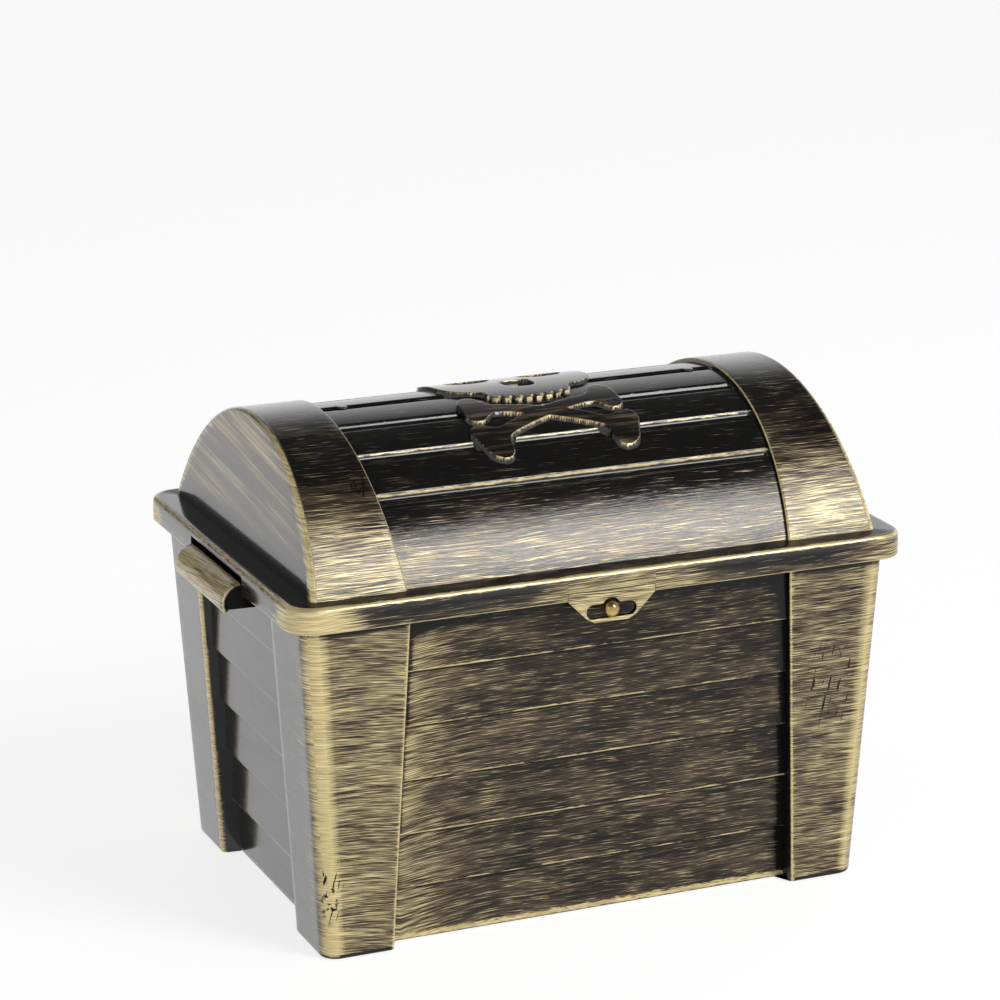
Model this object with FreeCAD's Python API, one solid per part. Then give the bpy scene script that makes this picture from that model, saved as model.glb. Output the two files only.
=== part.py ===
import FreeCAD, Part
import math
import os
from FreeCAD import Vector

# Toy treasure chest: a tapered tub of plank courses with corner posts, a domed lid on two pinned
# hinges, a springy tab that snaps over a ball stud, and a hook handle at each end.
# Millimetres. X runs to the right, Y to the back and Z up. The origin is on the table, under the
# middle of the chest.

# Lid rim: the ledge round the dome and the skirt below it
rim_half_x = 70.0
rim_half_y = 48.5
rim_height = 79.3
rim_corner_radius = 6.2
skirt_height = 5.5
skirt_wall = 1.6
ledge_thickness = 1.8

# Lid dome: its planks are an arc, and a raised band covers each end
ledge_width_x = 5.6
ledge_width_y = 4.7
dome_rise = 28.7
dome_wall = 2.0
cap_lean_share = 0.105
band_width = 20.9
band_lean_share = 0.097
band_proud = 1.0
groove_angles = (-41.7, -27.8, -13.9, 0.0, 13.9, 27.8, 41.7)
groove_width = 2.8
groove_depth = 0.8
groove_end_gap = 0.4
nail_radius = 0.9
nail_height = 1.3
nail_inset = 5.5

# Emblem on the dome: a skull behind two crossed bones
emblem_proud = 1.0
emblem_root = 0.5
bone_cross_y = -15.6
bone_reach_x = 15.4
bone_reach_y = 5.6
bone_width = 3.3
bone_lobe_radius = 2.6
bone_lobe_spread = 2.9
cranium_half_x = 18.0
cranium_half_y = 11.9
cranium_corner_radius = 8.0
cranium_y = 9.1
jaw_half_x = 9.9
jaw_front_y = -8.6
eye_half_x = 5.0
eye_half_y = 3.2
eye_x = 8.5
eye_y = 9.2
nose_half_x = 3.3
nose_height = 6.0
nose_y = -1.5
tooth_count = 8
tooth_gap = 0.7
tooth_length = 1.6

# Tub: six plank courses, each set in from the one above, and four corner posts
plank_count = 6
plank_inset_x = 5.2
plank_inset_y = 5.3
plank_step_x = 1.35
plank_step_y = 1.08
post_inset_x = 3.1
post_inset_y = 3.4
post_taper_x = 4.6
post_taper_y = 3.1
post_corner_radius = 3.5
post_foot_width_x = 15.7
post_head_width_x = 23.9
post_foot_width_y = 17.7
post_head_width_y = 21.3
tub_wall = 1.8
tub_floor = 1.8
cavity_corner_radius = 2.0
lip_thickness = 1.5
lip_corner_radius = 4.0

# Handles: a plate that leaves the end wall under the lip and curls down to a hook, with a web that
# closes each end
handle_half_length = 15.7
handle_drop = 1.1
handle_flat = 2.2
handle_radius = 4.3
handle_thickness = 1.3
handle_curl_angle = 110.0
handle_web = 1.2

# Latch: the tab's outline, its hole, and the ball stud
tab_thickness = 1.2
tab_root_height = 1.8
tab_drop = 5.3
tab_head_half_x = 9.9
tab_cheek_half_x = 5.7
tab_cheek_height = 1.0
tab_foot_half_x = 3.9
tab_band = 0.75
slot_half_x = 5.3
slot_half_height = 1.55
arch_lift = 0.3
ball_radius = 1.8
ball_poke = 1.5
stud_radius = 1.1

# Hinges: on each, a lid knuckle turns between two tub knuckles on one pin
hinge_half_spacing = 32.0
knuckle_radius = 2.3
tub_knuckle_length = 4.0
lid_knuckle_length = 6.0
pin_radius = 0.9

# Clearances
lid_seat_gap = 0.2
lip_gap = 0.8
knuckle_drop = 0.4
knuckle_side_gap = 0.4
pin_running_gap = 0.05
notch_side_gap = 0.9
tab_gap = 0.1
ball_gap = 0.15
arch_gap = 0.3
cut_overrun = 2.0

# Heights and places that follow from these
skirt_foot = rim_height - skirt_height
ledge_under = rim_height - ledge_thickness
tub_top = ledge_under - lid_seat_gap
lip_half_x = rim_half_x - skirt_wall - lip_gap
lip_half_y = rim_half_y - skirt_wall - lip_gap
plank_pitch = skirt_foot / plank_count
plank_head_half_x = rim_half_x - plank_inset_x
plank_head_half_y = rim_half_y - plank_inset_y
post_head_half_x = rim_half_x - post_inset_x
post_head_half_y = rim_half_y - post_inset_y
post_foot_half_x = post_head_half_x - post_taper_x
post_foot_half_y = post_head_half_y - post_taper_y
post_head_inner_x = post_head_half_x - post_head_width_x
post_head_inner_y = post_head_half_y - post_head_width_y
post_foot_inner_x = post_foot_half_x - post_foot_width_x
post_foot_inner_y = post_foot_half_y - post_foot_width_y
dome_half_x = rim_half_x - ledge_width_x
dome_half_y = rim_half_y - ledge_width_y
dome_radius = (dome_half_y ** 2 + dome_rise ** 2) / (2 * dome_rise)
dome_centre_z = rim_height + dome_rise - dome_radius
plank_radius = dome_radius - band_proud
band_inner_half_x = dome_half_x - band_width
latch_reach = rim_half_y + ball_poke
ball_y = -(latch_reach - ball_radius)
ball_z = skirt_foot - tab_drop + tab_band + ball_gap + ball_radius
hinge_y = latch_reach - knuckle_radius
hinge_z = skirt_foot - knuckle_drop - knuckle_radius


def polygon_face(points):
    """A flat face from its corner points."""
    return Part.Face(Part.makePolygon(points + points[:1]))


def rounded_rectangle(half_x, half_y, radius, z):
    """A closed wire in a level plane, with its corners rounded."""
    bend = radius * math.sqrt(0.5)
    edges = []
    ends = []
    for sx, sy in ((1, 1), (-1, 1), (-1, -1), (1, -1)):
        centre = Vector(sx * (half_x - radius), sy * (half_y - radius), z)
        along_x = centre + Vector(0, sy * radius, 0)
        along_y = centre + Vector(sx * radius, 0, 0)
        first, last = (along_y, along_x) if sx * sy > 0 else (along_x, along_y)
        edges.append(Part.Arc(first, centre + Vector(sx * bend, sy * bend, 0), last).toShape())
        ends.append((first, last))
    for here, after in zip(ends, ends[1:] + ends[:1]):
        edges.append(Part.LineSegment(here[1], after[0]).toShape())
    return Part.Wire(Part.__sortEdges__(edges))


def level_prism(half_x, half_y, radius, foot, head):
    """An upright rounded block between two heights."""
    face = Part.Face(rounded_rectangle(half_x, half_y, radius, foot))
    return face.extrude(Vector(0, 0, head - foot))


def centred_box(half_x, half_y, foot, head):
    """An upright square block about the Z axis."""
    return Part.makeBox(2 * half_x, 2 * half_y, head - foot, Vector(-half_x, -half_y, foot))


def box_between(low, high):
    """A block between two corner points."""
    return Part.makeBox(high.x - low.x, high.y - low.y, high.z - low.z, low)


def rod_x(radius, low_x, high_x, y, z):
    """A round bar along X."""
    return Part.makeCylinder(radius, high_x - low_x, Vector(low_x, y, z), Vector(1, 0, 0))


def mirrored_x(shape):
    """The same shape at the other end of the chest."""
    return shape.mirror(Vector(0, 0, 0), Vector(1, 0, 0))


def at_height(foot_size, head_size, z):
    """A size that changes evenly from the table to the tub's top."""
    return foot_size + (head_size - foot_size) * z / tub_top


# Tub

def plank_courses():
    """The plank walls as a stack of blocks, the lowest set in furthest."""
    courses = []
    for index in range(plank_count):
        foot = plank_pitch * (plank_count - 1 - index)
        head = tub_top if index == 0 else foot + plank_pitch
        half_x = plank_head_half_x - index * plank_step_x
        half_y = plank_head_half_y - index * plank_step_y
        courses.append(centred_box(half_x, half_y, foot, head))
    return courses[0].multiFuse(courses[1:])


def post_envelope(inset, foot):
    """The tapered outline that the four posts share, drawn in by a wall."""
    sections = []
    for z in (foot, tub_top):
        half_x = at_height(post_foot_half_x, post_head_half_x, z) - inset
        half_y = at_height(post_foot_half_y, post_head_half_y, z) - inset
        sections.append(rounded_rectangle(half_x, half_y, post_corner_radius, z))
    return Part.makeLoft(sections, True, True)


def corner_column(side_x, side_y, inset):
    """The upright space of one post, whose inner edges splay towards its foot."""
    sections = []
    for z in (0, tub_top):
        inner_x = at_height(post_foot_inner_x, post_head_inner_x, z) + inset
        inner_y = at_height(post_foot_inner_y, post_head_inner_y, z) + inset
        near = Vector(side_x * inner_x, side_y * inner_y, z)
        far = Vector(side_x * rim_half_x, side_y * rim_half_y, z)
        corners = [near, Vector(far.x, near.y, z), far, Vector(near.x, far.y, z)]
        sections.append(Part.makePolygon(corners + corners[:1]))
    return Part.makeLoft(sections, True, True)


def posts(inset, foot):
    """The four corner posts, or the hollows inside them when drawn in by a wall."""
    envelope = post_envelope(inset, foot)
    return [
        envelope.common(corner_column(side_x, side_y, inset))
        for side_x in (-1, 1)
        for side_y in (-1, 1)
    ]


def tub_cavity():
    """The room inside the plank walls, from the floor up through the open top."""
    last = plank_count - 1
    foot_half_x = plank_head_half_x - last * plank_step_x - tub_wall
    foot_half_y = plank_head_half_y - last * plank_step_y - tub_wall
    head_half_x = plank_head_half_x - tub_wall
    head_half_y = plank_head_half_y - tub_wall
    sections = [
        rounded_rectangle(foot_half_x, foot_half_y, cavity_corner_radius, tub_floor),
        rounded_rectangle(head_half_x, head_half_y, cavity_corner_radius, tub_top),
    ]
    return Part.makeLoft(sections, True, True)


def hinge_middles():
    """Where the two hinges sit along X."""
    return (-hinge_half_spacing, hinge_half_spacing)


def tub_lugs():
    """Two knuckles per hinge, each on an arm from the back wall."""
    lugs = []
    start = lid_knuckle_length / 2 + knuckle_side_gap
    wall_y = plank_head_half_y - tub_wall / 2
    for middle in hinge_middles():
        for side in (-1, 1):
            ends = sorted((middle + side * start, middle + side * (start + tub_knuckle_length)))
            knuckle = rod_x(knuckle_radius, ends[0], ends[1], hinge_y, hinge_z)
            arm = box_between(
                Vector(ends[0], wall_y, hinge_z - knuckle_radius),
                Vector(ends[1], hinge_y, hinge_z + pin_radius),
            )
            lugs.append(knuckle.fuse(arm))
    return lugs


def hinge_pin(middle, radius):
    """A straight pin through all three knuckles of one hinge."""
    half = lid_knuckle_length / 2 + knuckle_side_gap + tub_knuckle_length
    return rod_x(radius, middle - half, middle + half, hinge_y, hinge_z)


def base_tub():
    """The tub moulding with its posts, lip and hinge lugs."""
    lip = level_prism(lip_half_x, lip_half_y, lip_corner_radius, tub_top - lip_thickness, tub_top)
    outside = plank_courses().multiFuse(posts(0, 0) + [lip])
    hollow = tub_cavity().multiFuse(posts(tub_wall, tub_floor))
    tub = outside.cut(hollow).multiFuse(tub_lugs())
    for middle in hinge_middles():
        tub = tub.cut(hinge_pin(middle, pin_radius))
    return tub.cut(stud_shank()).removeSplitter()


# Handles

def handle_right():
    """A plate that leaves the end wall under the lip and curls over into a hook, open only below."""
    plate_top = tub_top - handle_drop
    plate_under = plate_top - handle_thickness
    centre_x = lip_half_x + handle_flat
    centre_z = plate_top - handle_radius
    inner_radius = handle_radius - handle_thickness

    def on_curl(radius, angle):
        turn = math.radians(angle)
        x = centre_x + radius * math.sin(turn)
        z = centre_z + radius * math.cos(turn)
        return Vector(x, -handle_half_length, z)

    half_curl = handle_curl_angle / 2
    outer_start = Vector(lip_half_x, -handle_half_length, plate_top)
    inner_start = Vector(lip_half_x, -handle_half_length, plate_under)
    outer = [on_curl(handle_radius, angle) for angle in (0, half_curl, handle_curl_angle)]
    inner = [on_curl(inner_radius, angle) for angle in (handle_curl_angle, half_curl, 0)]
    edges = [
        Part.LineSegment(outer_start, outer[0]).toShape(),
        Part.Arc(*outer).toShape(),
        Part.LineSegment(outer[2], inner[0]).toShape(),
        Part.Arc(*inner).toShape(),
        Part.LineSegment(inner[2], inner_start).toShape(),
        Part.LineSegment(inner_start, outer_start).toShape(),
    ]
    hook = Part.Face(Part.Wire(edges)).extrude(Vector(0, 2 * handle_half_length, 0))
    root = box_between(
        Vector(plank_head_half_x, -handle_half_length, plate_under),
        Vector(lip_half_x, handle_half_length, tub_top - lip_thickness),
    )
    wall_head = Vector(plank_head_half_x, -handle_half_length, plate_under)
    wall_foot = Vector(plank_head_half_x, -handle_half_length, outer[2].z)
    web_edges = [
        Part.LineSegment(outer_start, outer[0]).toShape(),
        Part.Arc(*outer).toShape(),
        Part.LineSegment(outer[2], wall_foot).toShape(),
        Part.LineSegment(wall_foot, wall_head).toShape(),
        Part.LineSegment(wall_head, inner_start).toShape(),
        Part.LineSegment(inner_start, outer_start).toShape(),
    ]
    front_web = Part.Face(Part.Wire(web_edges)).extrude(Vector(0, handle_web, 0))
    back_web = front_web.copy()
    back_web.translate(Vector(0, 2 * handle_half_length - handle_web, 0))
    return hook.multiFuse([root, front_web, back_web]).removeSplitter()


# Lid

def leaning_wedge(half_x, lean_share, foot, head):
    """The space between two end planes that lean as they rise from the ledge."""
    reach = dome_radius + cut_overrun
    foot_x = half_x + lean_share * (foot - rim_height)
    head_x = half_x + lean_share * (head - rim_height)
    corners = [
        Vector(-foot_x, -reach, foot),
        Vector(foot_x, -reach, foot),
        Vector(head_x, -reach, head),
        Vector(-head_x, -reach, head),
    ]
    return polygon_face(corners).extrude(Vector(0, 2 * reach, 0))


def dome_arc(radius):
    """A round bar on the dome's axis, long enough for the whole lid."""
    return rod_x(radius, -rim_half_x, rim_half_x, 0, dome_centre_z)


def dome_form(inset, foot):
    """The planks and the two end bands, drawn in by a wall."""
    head = rim_height + dome_rise + cut_overrun
    whole = leaning_wedge(dome_half_x - inset, -cap_lean_share, foot, head)
    middle = leaning_wedge(band_inner_half_x + inset, band_lean_share, foot, head)
    planks = dome_arc(plank_radius - inset).common(whole)
    bands = dome_arc(dome_radius - inset).common(whole.cut(middle))
    return planks.fuse(bands)


def grooves():
    """Channels along the joints of the dome's planks."""
    cuts = []
    for angle in groove_angles:
        turn = math.radians(angle)
        foot = plank_radius - groove_depth
        rise = dome_centre_z + foot * math.cos(turn) - rim_height
        half_x = band_inner_half_x + band_lean_share * rise - groove_end_gap
        channel = centred_box(half_x, groove_width / 2, foot, plank_radius + cut_overrun)
        channel.rotate(Vector(0, 0, 0), Vector(1, 0, 0), -angle)
        channel.translate(Vector(0, 0, dome_centre_z))
        cuts.append(channel)
    return cuts


def nails():
    """A nail head in the top groove near each band."""
    place = band_inner_half_x + band_lean_share * dome_rise - nail_inset
    groove_floor = dome_centre_z + plank_radius - groove_depth
    foot = groove_floor - dome_wall / 2
    head = groove_floor + nail_height
    return [upright_disc(nail_radius, side * place, 0, foot, head) for side in (-1, 1)]


def upright_disc(radius, x, y, foot, head):
    """A round upright plug."""
    return Part.makeCylinder(radius, head - foot, Vector(x, y, foot))


def upright_oval(half_x, half_y, x, y, foot, head):
    """An oval upright plug, wider than deep."""
    oval = Part.Ellipse(Vector(x, y, foot), half_x, half_y).toShape()
    return Part.Face(Part.Wire(oval)).extrude(Vector(0, 0, head - foot))


def bone(side, foot, head):
    """One bone: a shaft with two lobes at each end, seen from above."""
    length = math.hypot(bone_reach_x, bone_reach_y)
    along = Vector(bone_reach_x / length, side * bone_reach_y / length, 0)
    across = Vector(-along.y, along.x, 0)
    middle = Vector(0, bone_cross_y, foot)
    corners = [
        middle + along * (end * length) + across * (edge * bone_width / 2)
        for end, edge in ((-1, -1), (1, -1), (1, 1), (-1, 1))
    ]
    pieces = [polygon_face(corners).extrude(Vector(0, 0, head - foot))]
    for end in (-1, 1):
        for edge in (-1, 1):
            lobe = middle + along * (end * length) + across * (edge * bone_lobe_spread)
            pieces.append(upright_disc(bone_lobe_radius, lobe.x, lobe.y, foot, head))
    return pieces[0].multiFuse(pieces[1:])


def skull(foot, head):
    """The skull: cranium and jaw, with eye sockets, a nose and gaps between the teeth."""
    cranium = level_prism(cranium_half_x, cranium_half_y, cranium_corner_radius, foot, head)
    cranium.translate(Vector(0, cranium_y, 0))
    jaw = box_between(Vector(-jaw_half_x, jaw_front_y, foot), Vector(jaw_half_x, cranium_y, head))
    face = cranium.fuse(jaw)
    for side in (-1, 1):
        face = face.cut(upright_oval(eye_half_x, eye_half_y, side * eye_x, eye_y, foot, head))
    nose = [
        Vector(-nose_half_x, nose_y, foot),
        Vector(nose_half_x, nose_y, foot),
        Vector(0, nose_y + nose_height, foot),
    ]
    face = face.cut(polygon_face(nose).extrude(Vector(0, 0, head - foot)))
    tooth_pitch = 2 * jaw_half_x / tooth_count
    for index in range(1, tooth_count):
        x = -jaw_half_x + index * tooth_pitch
        gap_low = Vector(x - tooth_gap / 2, jaw_front_y - cut_overrun, foot)
        gap_high = Vector(x + tooth_gap / 2, jaw_front_y + tooth_length, head)
        face = face.cut(box_between(gap_low, gap_high))
    return face


def emblem():
    """Skull and bones standing on the dome, their tops following its curve."""
    foot = rim_height
    head = rim_height + dome_rise + emblem_proud + cut_overrun
    outline = skull(foot, head).multiFuse([bone(1, foot, head), bone(-1, foot, head)])
    skin = dome_arc(plank_radius + emblem_proud).cut(dome_arc(plank_radius - groove_depth - emblem_root))
    return outline.common(skin)


def lid_rim():
    """The ledge and the skirt below it, notched for the handles and the latch tab."""
    rim = level_prism(rim_half_x, rim_half_y, rim_corner_radius, skirt_foot, rim_height)
    inside = level_prism(
        rim_half_x - skirt_wall,
        rim_half_y - skirt_wall,
        rim_corner_radius - skirt_wall,
        skirt_foot - cut_overrun,
        ledge_under,
    )
    handle_notch = centred_box(
        rim_half_x + cut_overrun,
        handle_half_length + notch_side_gap,
        skirt_foot - cut_overrun,
        ledge_under,
    )
    tab_notch = box_between(
        Vector(-tab_head_half_x - tab_gap, -rim_half_y - cut_overrun, skirt_foot - cut_overrun),
        Vector(tab_head_half_x + tab_gap, 0, skirt_foot + tab_root_height),
    )
    return rim.cut(inside).cut(handle_notch).cut(tab_notch)


def lid_lugs():
    """One knuckle per hinge, on an arm that runs up into the back skirt."""
    lugs = []
    half = lid_knuckle_length / 2
    for middle in hinge_middles():
        knuckle = rod_x(knuckle_radius, middle - half, middle + half, hinge_y, hinge_z)
        arm = box_between(
            Vector(middle - half, rim_half_y - skirt_wall, hinge_z),
            Vector(middle + half, rim_half_y, skirt_foot + tab_root_height),
        )
        lugs.append(knuckle.fuse(arm))
    return lugs


def lid_shell():
    """The lid moulding: dome, bands, ledge, skirt, emblem and hinge lugs."""
    outside = lid_rim().fuse(dome_form(0, ledge_under))
    for channel in grooves():
        outside = outside.cut(channel)
    outside = outside.multiFuse([emblem()] + nails())
    lid = outside.cut(dome_form(dome_wall, ledge_under - cut_overrun))
    lid = lid.multiFuse(lid_lugs())
    for middle in hinge_middles():
        lid = lid.cut(hinge_pin(middle, pin_radius + pin_running_gap))
    return lid


# Latch

def latch_tab():
    """The tab that hangs from the front skirt, with a slot that arches over the ball."""
    root = skirt_foot + tab_root_height - tab_gap
    foot = skirt_foot - tab_drop
    cheek = foot + tab_cheek_height
    half_outline = [
        (tab_head_half_x, root),
        (tab_head_half_x, skirt_foot),
        (tab_cheek_half_x, cheek),
        (tab_foot_half_x, foot),
    ]
    right = [Vector(x, -rim_half_y, z) for x, z in half_outline]
    left = [Vector(-x, -rim_half_y, z) for x, z in reversed(half_outline)]
    plate = polygon_face(right + left).extrude(Vector(0, tab_thickness, 0))
    slot_foot = foot + tab_band
    slot_z = slot_foot + slot_half_height
    slot_end = slot_half_x - slot_half_height
    slot = box_between(
        Vector(-slot_end, -rim_half_y - cut_overrun, slot_foot),
        Vector(slot_end, -rim_half_y + tab_thickness + cut_overrun, slot_z + slot_half_height),
    )
    rounds = [through_tab(slot_half_height, side * slot_end, slot_z) for side in (-1, 1)]
    arch = through_tab(ball_radius + arch_gap, 0, ball_z + arch_lift)
    return plate.cut(slot.multiFuse(rounds + [arch])).removeSplitter()


def through_tab(radius, x, z):
    """A round plug that passes through the latch tab from its front."""
    start = Vector(x, -rim_half_y - cut_overrun, z)
    return Part.makeCylinder(radius, tab_thickness + 2 * cut_overrun, start, Vector(0, 1, 0))


def stud_shank():
    """The stud's straight shank, from inside the front wall to the ball's middle."""
    inner_y = -(plank_head_half_y - tub_wall)
    return Part.makeCylinder(stud_radius, inner_y - ball_y, Vector(0, ball_y, ball_z), Vector(0, 1, 0))


def latch_stud():
    """The ball stud on the front wall."""
    return Part.makeSphere(ball_radius, Vector(0, ball_y, ball_z)).fuse(stud_shank())


nodes = {
    "base_tub": base_tub(),
    "handle_left": mirrored_x(handle_right()),
    "handle_right": handle_right(),
    "latch_stud": latch_stud(),
    "lid_shell": lid_shell(),
    "latch_tab": latch_tab(),
    "hinge_pin_left": hinge_pin(-hinge_half_spacing, pin_radius),
    "hinge_pin_right": hinge_pin(hinge_half_spacing, pin_radius),
}

os.makedirs("parts", exist_ok=True)
for name, shape in nodes.items():
    box = shape.optimalBoundingBox(False)
    print(name, "solids", len(shape.Solids), "valid", shape.isValid(), "volume", round(shape.Volume, 1))
    print("   box", [round(v, 2) for v in (box.XMin, box.XMax, box.YMin, box.YMax, box.ZMin, box.ZMax)])
    shape.exportStep("parts/" + name + ".step")
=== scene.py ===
# %% [markdown]
# This file dresses a small toy treasure chest. The measured solids come in first as a fixed frame,
# and every surface made below sits in that frame, in metres, so nothing has to be fitted by eye.

import bpy
import numpy as np
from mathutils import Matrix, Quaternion, Vector


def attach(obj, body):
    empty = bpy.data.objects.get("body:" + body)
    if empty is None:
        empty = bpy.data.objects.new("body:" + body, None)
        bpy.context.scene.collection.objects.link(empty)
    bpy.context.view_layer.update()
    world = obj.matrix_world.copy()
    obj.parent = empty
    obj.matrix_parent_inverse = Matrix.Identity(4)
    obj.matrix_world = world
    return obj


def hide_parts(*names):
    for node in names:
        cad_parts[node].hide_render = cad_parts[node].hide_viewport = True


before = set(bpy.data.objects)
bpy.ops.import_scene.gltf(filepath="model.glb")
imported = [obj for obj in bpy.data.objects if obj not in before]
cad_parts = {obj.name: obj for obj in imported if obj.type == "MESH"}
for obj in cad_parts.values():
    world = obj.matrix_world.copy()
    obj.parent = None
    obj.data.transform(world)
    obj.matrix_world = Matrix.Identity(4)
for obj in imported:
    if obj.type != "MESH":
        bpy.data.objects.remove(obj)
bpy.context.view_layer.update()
print("solids:", sorted(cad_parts))

# %% [markdown]
# All new pieces are grids: whole arrays of points, one per pair of parameters. One helper turns such
# grids into a mesh. Points that coincide are welded, which closes seams and poles, and each face
# corner keeps the brush coordinate of its own grid point, so the pattern runs on across a seam. Four
# numbers ride along on every point: how heavily it is brushed with gold, how rubbed an edge is, how
# much of the plastic's gloss shows, because the paint is duller than the plastic, and how evenly the
# paint lies.

# %% Grids and their cells
MM = 0.001
LAYERS = ("gold", "edge", "gloss", "even")


def patch(points, brush, gold, edge, gloss=1.0, even=0.0):
    """One grid: points in millimetres, brush coordinates along and across the strokes, and a value of
    each layer, for the whole grid or per point."""
    shape = points.shape[:2]
    values = zip(LAYERS, (gold, edge, gloss, even))
    strokes = np.stack([np.broadcast_to(b, shape) for b in brush], -1)
    return {"points": points, "brush": strokes, **{k: np.broadcast_to(v, shape) for k, v in values}}


def corner_numbers(rows, cols, start=0):
    """The four point numbers of every cell of a grid whose points are counted row by row."""
    number = start + np.arange(rows * cols).reshape(rows, cols)
    cells = [number[:-1, :-1], number[:-1, 1:], number[1:, 1:], number[1:, :-1]]
    return np.stack(cells, -1).reshape(-1, 4)


def gather(patches):
    """Strings the grids' points, layers and cells together, counted from the first grid on."""
    points = np.concatenate([p["points"].reshape(-1, 3) for p in patches])
    brush = np.concatenate([p["brush"].reshape(-1, 2) for p in patches])
    layers = {layer: np.concatenate([p[layer].ravel() for p in patches]) for layer in LAYERS}
    sizes = np.array([p["gold"].size for p in patches])
    starts = np.cumsum(sizes) - sizes
    cells = np.concatenate([corner_numbers(*p["gold"].shape, s) for p, s in zip(patches, starts)])
    return points, brush, layers, cells


print("cells of a grid of 2 by 3 points:", corner_numbers(2, 3).tolist())

# %% A mesh from grids
WELD_DIGITS = 4
SHARP_ANGLE = np.radians(50)
finishes = {}


def weld(points, cells):
    """Gives points that share a place to a ten-thousandth of a millimetre one number, and drops a cell
    corner that fell onto the next one. Returns the points to keep, every point's new number, and the
    corners and corner counts of the four-sided faces and then of the three-sided ones."""
    key = np.round(points, WELD_DIGITS) + 0.0
    _, first, same = np.unique(key, axis=0, return_index=True, return_inverse=True)
    same = same.ravel()
    keep = same[cells] != np.roll(same[cells], -1, axis=1)
    count = keep.sum(1)
    loops = np.concatenate([cells[count == 4].ravel(), cells[count == 3][keep[count == 3]]])
    totals = np.repeat([4, 3], [(count == 4).sum(), (count == 3).sum()])
    return first, same, loops, totals


def lay_mesh(name, body, grid, slot="brushed_gold_on_black"):
    """Writes gathered grids as one smooth mesh, sharp only where faces meet at a larger angle, with its
    strokes, layers and finish, and lets it ride on its body."""
    points, brush, layers, cells = grid
    first, same, loops, totals = weld(points, cells)
    mesh = bpy.data.meshes.new(name)
    mesh.vertices.add(len(first))
    mesh.vertices.foreach_set("co", (points[first] * MM).astype(np.float32).ravel())
    mesh.loops.add(len(loops))
    mesh.loops.foreach_set("vertex_index", same[loops].astype(np.int32))
    mesh.polygons.add(len(totals))
    mesh.polygons.foreach_set("loop_start", (np.cumsum(totals) - totals).astype(np.int32))
    mesh.update(calc_edges=True)
    strokes = mesh.uv_layers.new(name="brush")
    strokes.uv.foreach_set("vector", (brush[loops] * MM).astype(np.float32).ravel())
    for layer, values in layers.items():
        column = mesh.attributes.new(layer, "FLOAT", "POINT")
        column.data.foreach_set("value", values[first].astype(np.float32))
    mesh.validate()
    mesh.polygons.foreach_set("use_smooth", np.ones(len(mesh.polygons), bool))
    mesh.set_sharp_from_angle(angle=SHARP_ANGLE)
    piece = bpy.data.objects.new(name, mesh)
    bpy.context.scene.collection.objects.link(piece)
    mesh.materials.append(finishes[slot])
    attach(piece, body)
    print(name, "triangles", int((totals - 2).sum()), "points", len(first))
    return piece


# %% [markdown]
# Hand-brushed paint and moulded walls are never quite even. A seeded value noise gives the small
# wobbles: random numbers sit on a lattice, and an S-curve blends them, so it is smooth and the same
# on every run.

# %% Soft steps and seeded wobble
LATTICE_SIZE = 64
lattice = np.random.default_rng(17).uniform(-1, 1, (LATTICE_SIZE, LATTICE_SIZE))


def soft_step(x, low, high):
    """0 below low, 1 above high, and an even S-curve between them."""
    t = np.clip((x - low) / (high - low), 0, 1)
    return t * t * (3 - 2 * t)


def wobble(x, y, step_x, step_y):
    """Value noise from -1 to 1: lattice numbers blended along x and y by S-curves over each step."""
    gx, gy = np.broadcast_arrays(x / step_x, y / step_y)
    ix, iy = np.floor(gx).astype(int), np.floor(gy).astype(int)
    fx, fy = soft_step(gx - ix, 0, 1), soft_step(gy - iy, 0, 1)
    left, right = ix % LATTICE_SIZE, (ix + 1) % LATTICE_SIZE
    near, far = iy % LATTICE_SIZE, (iy + 1) % LATTICE_SIZE
    low = lattice[left, near] * (1 - fx) + lattice[right, near] * fx
    high = lattice[left, far] * (1 - fx) + lattice[right, far] * fx
    return low * (1 - fy) + high * fy


print("wobble at three places:", np.round(wobble(np.array([0.0, 3.3, 7.9]), 1.7, 2.0, 2.0), 3))

# %% [markdown]
# The finish is the heart of this object: glossy black plastic with gold paint dragged over it by a
# nearly dry brush. The paint catches on high edges and leaves broken streaks elsewhere. It could be
# painted by hand as an image, but streaks made from stretched noise stay sharp at any distance. The
# noise is read in brush coordinates, which run along the strokes, and the point attributes say how
# much of it turns gold. A node's output is wrapped in a small class here, so that the recipe reads as
# a sum: each sign in it adds one Math node.

# %% Nodes as sums
class Wire:
    """A node's output. A sum, difference, product or maximum with a wire or a number is a Math node."""

    def __init__(self, socket):
        self.socket = socket

    def math(self, operation, first, second):
        """One Math node in the wire's own tree."""
        tree = self.socket.id_data
        return add_node(tree, "ShaderNodeMath", {0: first, 1: second}, operation=operation)

    def __add__(self, other):
        return self.math("ADD", self, other)

    def __sub__(self, other):
        return self.math("SUBTRACT", self, other)

    def __rsub__(self, other):
        return self.math("SUBTRACT", other, self)

    def __mul__(self, other):
        return self.math("MULTIPLY", self, other)

    def or_more(self, other):
        """The larger of the two."""
        return self.math("MAXIMUM", self, other)


def feed(node, inputs):
    """Fills a node's inputs by socket name or number: a wire is linked, a number or colour is set."""
    for key, value in inputs.items():
        if isinstance(value, Wire):
            node.id_data.links.new(value.socket, node.inputs[key])
        else:
            node.inputs[key].default_value = value


def add_node(tree, kind, inputs=None, output=0, **settings):
    """A new node with its properties and inputs set, returned as a wire from one of its outputs."""
    node = tree.nodes.new(kind)
    for key, value in settings.items():
        setattr(node, key, value)
    feed(node, inputs or {})
    return Wire(node.outputs[output])


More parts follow.
